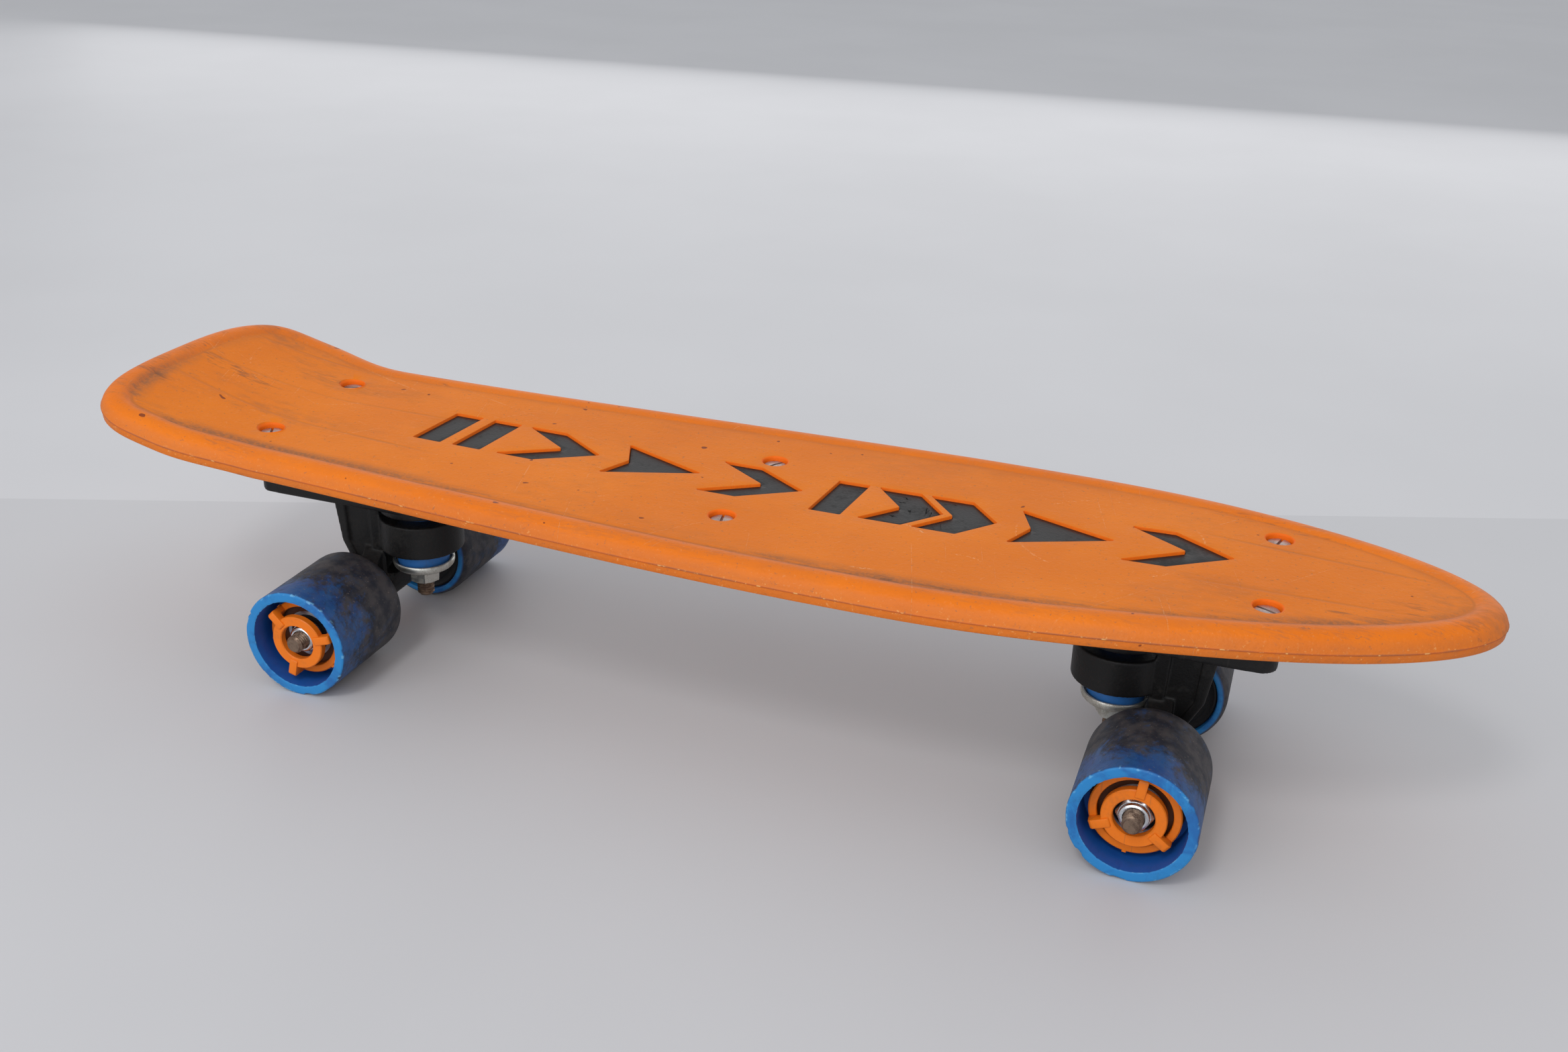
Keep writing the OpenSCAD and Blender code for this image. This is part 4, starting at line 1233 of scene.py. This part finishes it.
wheelSizes = {
    "radius": 25.0, "width": 50.0, "hollow": 20.7, "hubSeat": 18.5, "segments": 144,
    "seed": 7, "nicks": 26, "nick": 0.35,
    "cageDepth": {"rear": 2.0, "front": 5.0},
    "cageAngle": {
        ("rear", "right"): 16, ("rear", "left"): 65, ("front", "right"): 83, ("front", "left"): 14},
}


def wheelPiece(truck, side, name, mesh, material, node):
    obj = addObject(truck + side.title() + name, mesh, material)
    wheel = truck + "_" + side
    return finishPiece(obj, wheel + "_wheel", [wheel + "_" + node])


# in the wheels' outlines a pair is a radius and a depth from the outer face, in millimetres
def makeTyre(truck, side):
    w = wheelSizes
    r, width, hollow, seat = w["radius"], w["width"], w["hollow"], w["hubSeat"]
    rng = random.Random(w["seed"] + 10 * truckNames.index(truck) + sideNames.index(side))
    nicks = [0.0] * w["segments"]
    for _ in range(w["nicks"]):
        at = rng.randrange(w["segments"])
        size = rng.uniform(0.1, 1.0) ** 2 * w["nick"] * 2
        for k in range(rng.randint(1, 3)):
            nicks[(at + k) % w["segments"]] = size

    def radius(angle, rr, h):
        i = int(round(angle / (2 * math.pi) * w["segments"])) % w["segments"]
        if rr > r - 1.2 and h < 1.2:
            return rr - nicks[i]
        if rr < hollow + 0.8 and h < 0.6:
            return rr + nicks[(i * 7) % w["segments"]] * 0.4
        if rr > r - 0.1:
            return rr - 0.05 * (1 + math.sin(5 * angle + h * 0.3) * math.cos(3 * angle - h * 0.2))
        return rr

    face = [
        (hollow, 0.5), (hollow + 0.05, 0.15), (21.0, 0.0), (21.8, 0.0), (22.8, 0.0), (23.9, 0.0),
        (r - 0.5, 0.05), (r - 0.15, 0.3)]
    tread = [(r, h) for h in (0.8, 2, 6, 12, 18, 24, 30, 36, 41, 44.5)]
    back = [
        (r - 0.15, 46.3), (r - 0.6, 47.8), (r - 1.3, 49.0), (r - 2.3, 49.75), (21.5, width),
        (21.0, width - 0.05), (hollow, width - 0.4)]
    bore = [(hollow, 33), (seat, 33), (seat, 17), (hollow, 17), (hollow, 9)]
    part = turned(face + tread + back + bore, w["segments"], radius)
    mesh = buildMesh(truck + side.title() + "Tyre", part, 50)
    spots = [(math.hypot(v.co.x, v.co.y), v.co.z) for v in mesh.vertices]
    setValues(
        mesh,
        tread=[float(rr > r - 1 and h > 0.6 or rr > r - 2 and h > 40) for rr, h in spots],
        depth=[h / width for rr, h in spots],
        hollow=[float(rr < hollow + 0.5 and 0.4 < h < 40) for rr, h in spots],
        rimEdge=[float(rr > r - 0.7 and h < 1.5 or rr < hollow + 0.1 and h < 0.4) for rr, h in spots])
    mesh.transform(wheelPlace(truck, side))
    return wheelPiece(truck, side, "Tyre", mesh, wheelBlue, "tyre")


# a barrel, the cage's ring and three arms, and six small nubs
def makeHub(truck, side):
    d = wheelSizes["cageDepth"][truck]
    orange = plastics["hubOrange"]
    barrel = [
        (14.5, 9.0), (14.8, 8.6), (17.3, 8.6), (17.8, 9.0), (17.8, 9.8), (17.4, 10.2), (16.8, 10.4),
        (16.8, 17), (18.5, 17), (18.5, 33), (16.8, 33), (16.8, 38.7), (16.5, 39), (11.3, 39),
        (11, 38.7), (11, 31), (9.5, 31), (9.5, 19), (11, 19), (11, 12), (14.5, 12)]
    ring = [
        (8.1, d + 0.4), (8.5, d), (12.2, d), (12.6, d + 0.4), (12.6, d + 3.1), (12.2, d + 3.5),
        (8.5, d + 3.5), (8.1, d + 3.1)]
    shell = buildMesh("hubShell", joined([turned(barrel, 96), turned(ring, 72)]), weld=0)
    top = d - 0.7
    armProfile = [
        (9.2, top + 0.5), (9.8, top), (16.6, top + 0.2), (17.6, top + 0.9), (17.7, 9.7), (15.0, 9.7),
        (14.6, d + 3.3), (9.2, d + 3.2)]
    arms = addObject("hubArms", buildMesh("hubArm", prism(armProfile, -1.9, 1.9)), orange)
    bevel = arms.modifiers.new("soft edges", "BEVEL")
    bevel.width = 0.45
    bevel.segments = 3
    bevel.limit_method = "ANGLE"
    applyModifiers(arms)
    nubProfile = [(17.3, 8.7), (18.3, 8.7), (18.3, 9.9), (17.3, 9.9)]
    nubs = addObject("hubNubs", buildMesh("hubNub", prism(nubProfile, -0.8, 0.8)), orange)
    runTree(arms, aroundTree, Count=3, Finish=orange)
    runTree(nubs, aroundTree, Count=6, Finish=orange)
    mesh = mergedMesh(truck + side.title() + "Hub", [shell, arms.data, nubs.data])
    bpy.data.objects.remove(arms)
    bpy.data.objects.remove(nubs)
    # painted shade darkens the deep end of the barrel
    setValues(mesh, sooty=[0.92 * smoothStep((v.co.z - 8.8) / 3) for v in mesh.vertices])
    angle = math.radians(wheelSizes["cageAngle"][(truck, side)]) * (-1 if side == "right" else 1)
    mesh.transform(wheelPlace(truck, side) @ Matrix.Rotation(angle, 4, "Z"))
    return wheelPiece(truck, side, "Hub", mesh, orange, "hub")


def makeCover(truck, side):
    profile = [
        (7.5, 46.7), (7.7, 46.5), (13.8, 46.5), (13.8, 39), (15.3, 39), (15.3, 46.5), (20.3, 46.5),
        (20.5, 46.7), (20.5, 48.0), (20.1, 48.4), (19.4, 48.5), (18.9, 48.2), (17.0, 48.2),
        (16.6, 48.5), (11.5, 48.5), (11.1, 48.2), (8.0, 48.2), (7.5, 47.9)]
    mesh = buildMesh(truck + side.title() + "Cover", turned(profile, 96))
    mesh.transform(wheelPlace(truck, side))
    return wheelPiece(truck, side, "Cover", mesh, plastics["coverBlack"], "dust_cover")


for truck in truckNames:
    for side in sideNames:
        makeTyre(truck, side)
        makeHub(truck, side)
        makeCover(truck, side)
print("wheels made")

# CAD pieces that keep their shape get a finish of their own
keptFinish = {
    "pivot_cup": plastics["coverBlack"], "bearing_shields": plastics["coverBlack"],
    "top_washer": metals["zincSteel"], "bearing_spacer": metals["zincSteel"],
    "deck_screw_nuts": metals["zincSteel"], "bearing_outer_rings": metals["bearingSteel"],
    "bearing_balls": metals["bearingSteel"], "bearing_inner_rings": metals["bearingSteel"],
}
for name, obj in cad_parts.items():
    for ending, material in keptFinish.items():
        if name.endswith(ending):
            obj.data.materials.clear()
            obj.data.materials.append(material)

studio = {
    "floor": sRgb(202, 201, 203), "backdrop": sRgb(211, 210, 212), "reach": 9.0,
    "lineY": 0.226, "lineSlope": 0.394, "worldColour": (0.93, 0.96, 1.0, 1), "worldStrength": 0.62,
    "cameraAt": (0.2169, -0.6006, 0.3720), "cameraAim": (-0.04884, 0.18087, 0.0),
    "cameraRoll": 1.848, "lens": 37.02,
    # each light's place, aim, size and power
    "lights": {
        "lamp": ((-0.15, -1.25, 1.65), (0, 0, 0), (0.4, 0.4), 7.0),
        "wallBounce": ((-0.3, 1.6, 0.5), (-0.2, 0, 0.03), (3.0, 0.9), 6.0),
        "frontPanel": ((-0.25, -1.8, 1.0), (0, 0, 0.03), (2.6, 1.3), 18.0),
    },
}


# a plain sheet, a little lighter beyond a line behind the board
def makeStage():
    far = studio["reach"]
    for name, tone, low, high in [("floorSheet", "floor", -8, 0), ("backdropSheet", "backdrop", 0, 14)]:
        material, tree, shader, place = newMaterial(name, Roughness=0.55)
        cloud = ramp(tree, noise(tree, place, 3.0, 3), 0.3, 0.7, 0.98, 1.02)
        cloud = addNode(tree, "ShaderNodeCombineColor", {0: cloud, 1: cloud, 2: cloud}).outputs[0]
        toned = blendColour(tree, 1.0, studio[tone], cloud, "MULTIPLY")
        tree.links.new(toned, shader.inputs["Base Color"])
        addBump(tree, shader, noise(tree, place, 700.0, 2), 0.05, 0.0002)
        corners = [(x, studio["lineY"] + studio["lineSlope"] * x + shift, 0)
                   for x, shift in [(-far, low), (far, low), (far, high), (-far, high)]]
        mesh = bpy.data.meshes.new(name)
        mesh.from_pydata(corners, [], [(0, 1, 2, 3)])
        addObject(name, mesh, material)


def aimed(place, target):
    return (Vector(target) - Vector(place)).to_track_quat("-Z", "Y").to_matrix().to_4x4()


def addLight(name, place, target, size, power):
    data = bpy.data.lights.new(name, "AREA")
    data.shape = "RECTANGLE"
    data.size, data.size_y = size
    data.energy = power
    light = bpy.data.objects.new(name, data)
    light.matrix_world = Matrix.Translation(place) @ aimed(place, target)
    light.visible_camera = False
    scene.collection.objects.link(light)


def makeCamera():
    data = bpy.data.cameras.new("camera")
    data.sensor_width = 36
    data.lens = studio["lens"]
    camera = bpy.data.objects.new("camera", data)
    place = studio["cameraAt"]
    roll = Matrix.Rotation(math.radians(studio["cameraRoll"]), 4, "Z")
    camera.matrix_world = Matrix.Translation(place) @ aimed(place, studio["cameraAim"]) @ roll
    scene.collection.objects.link(camera)
    scene.camera = camera


makeStage()
makeCamera()
for name, values in studio["lights"].items():
    addLight(name, *values)
scene.world = bpy.data.worlds.new("room")
scene.world.use_nodes = True
sky = scene.world.node_tree.nodes["Background"]
sky.inputs["Color"].default_value = studio["worldColour"]
sky.inputs["Strength"].default_value = studio["worldStrength"]
scene.view_settings.view_transform = "Standard"
print("studio made")
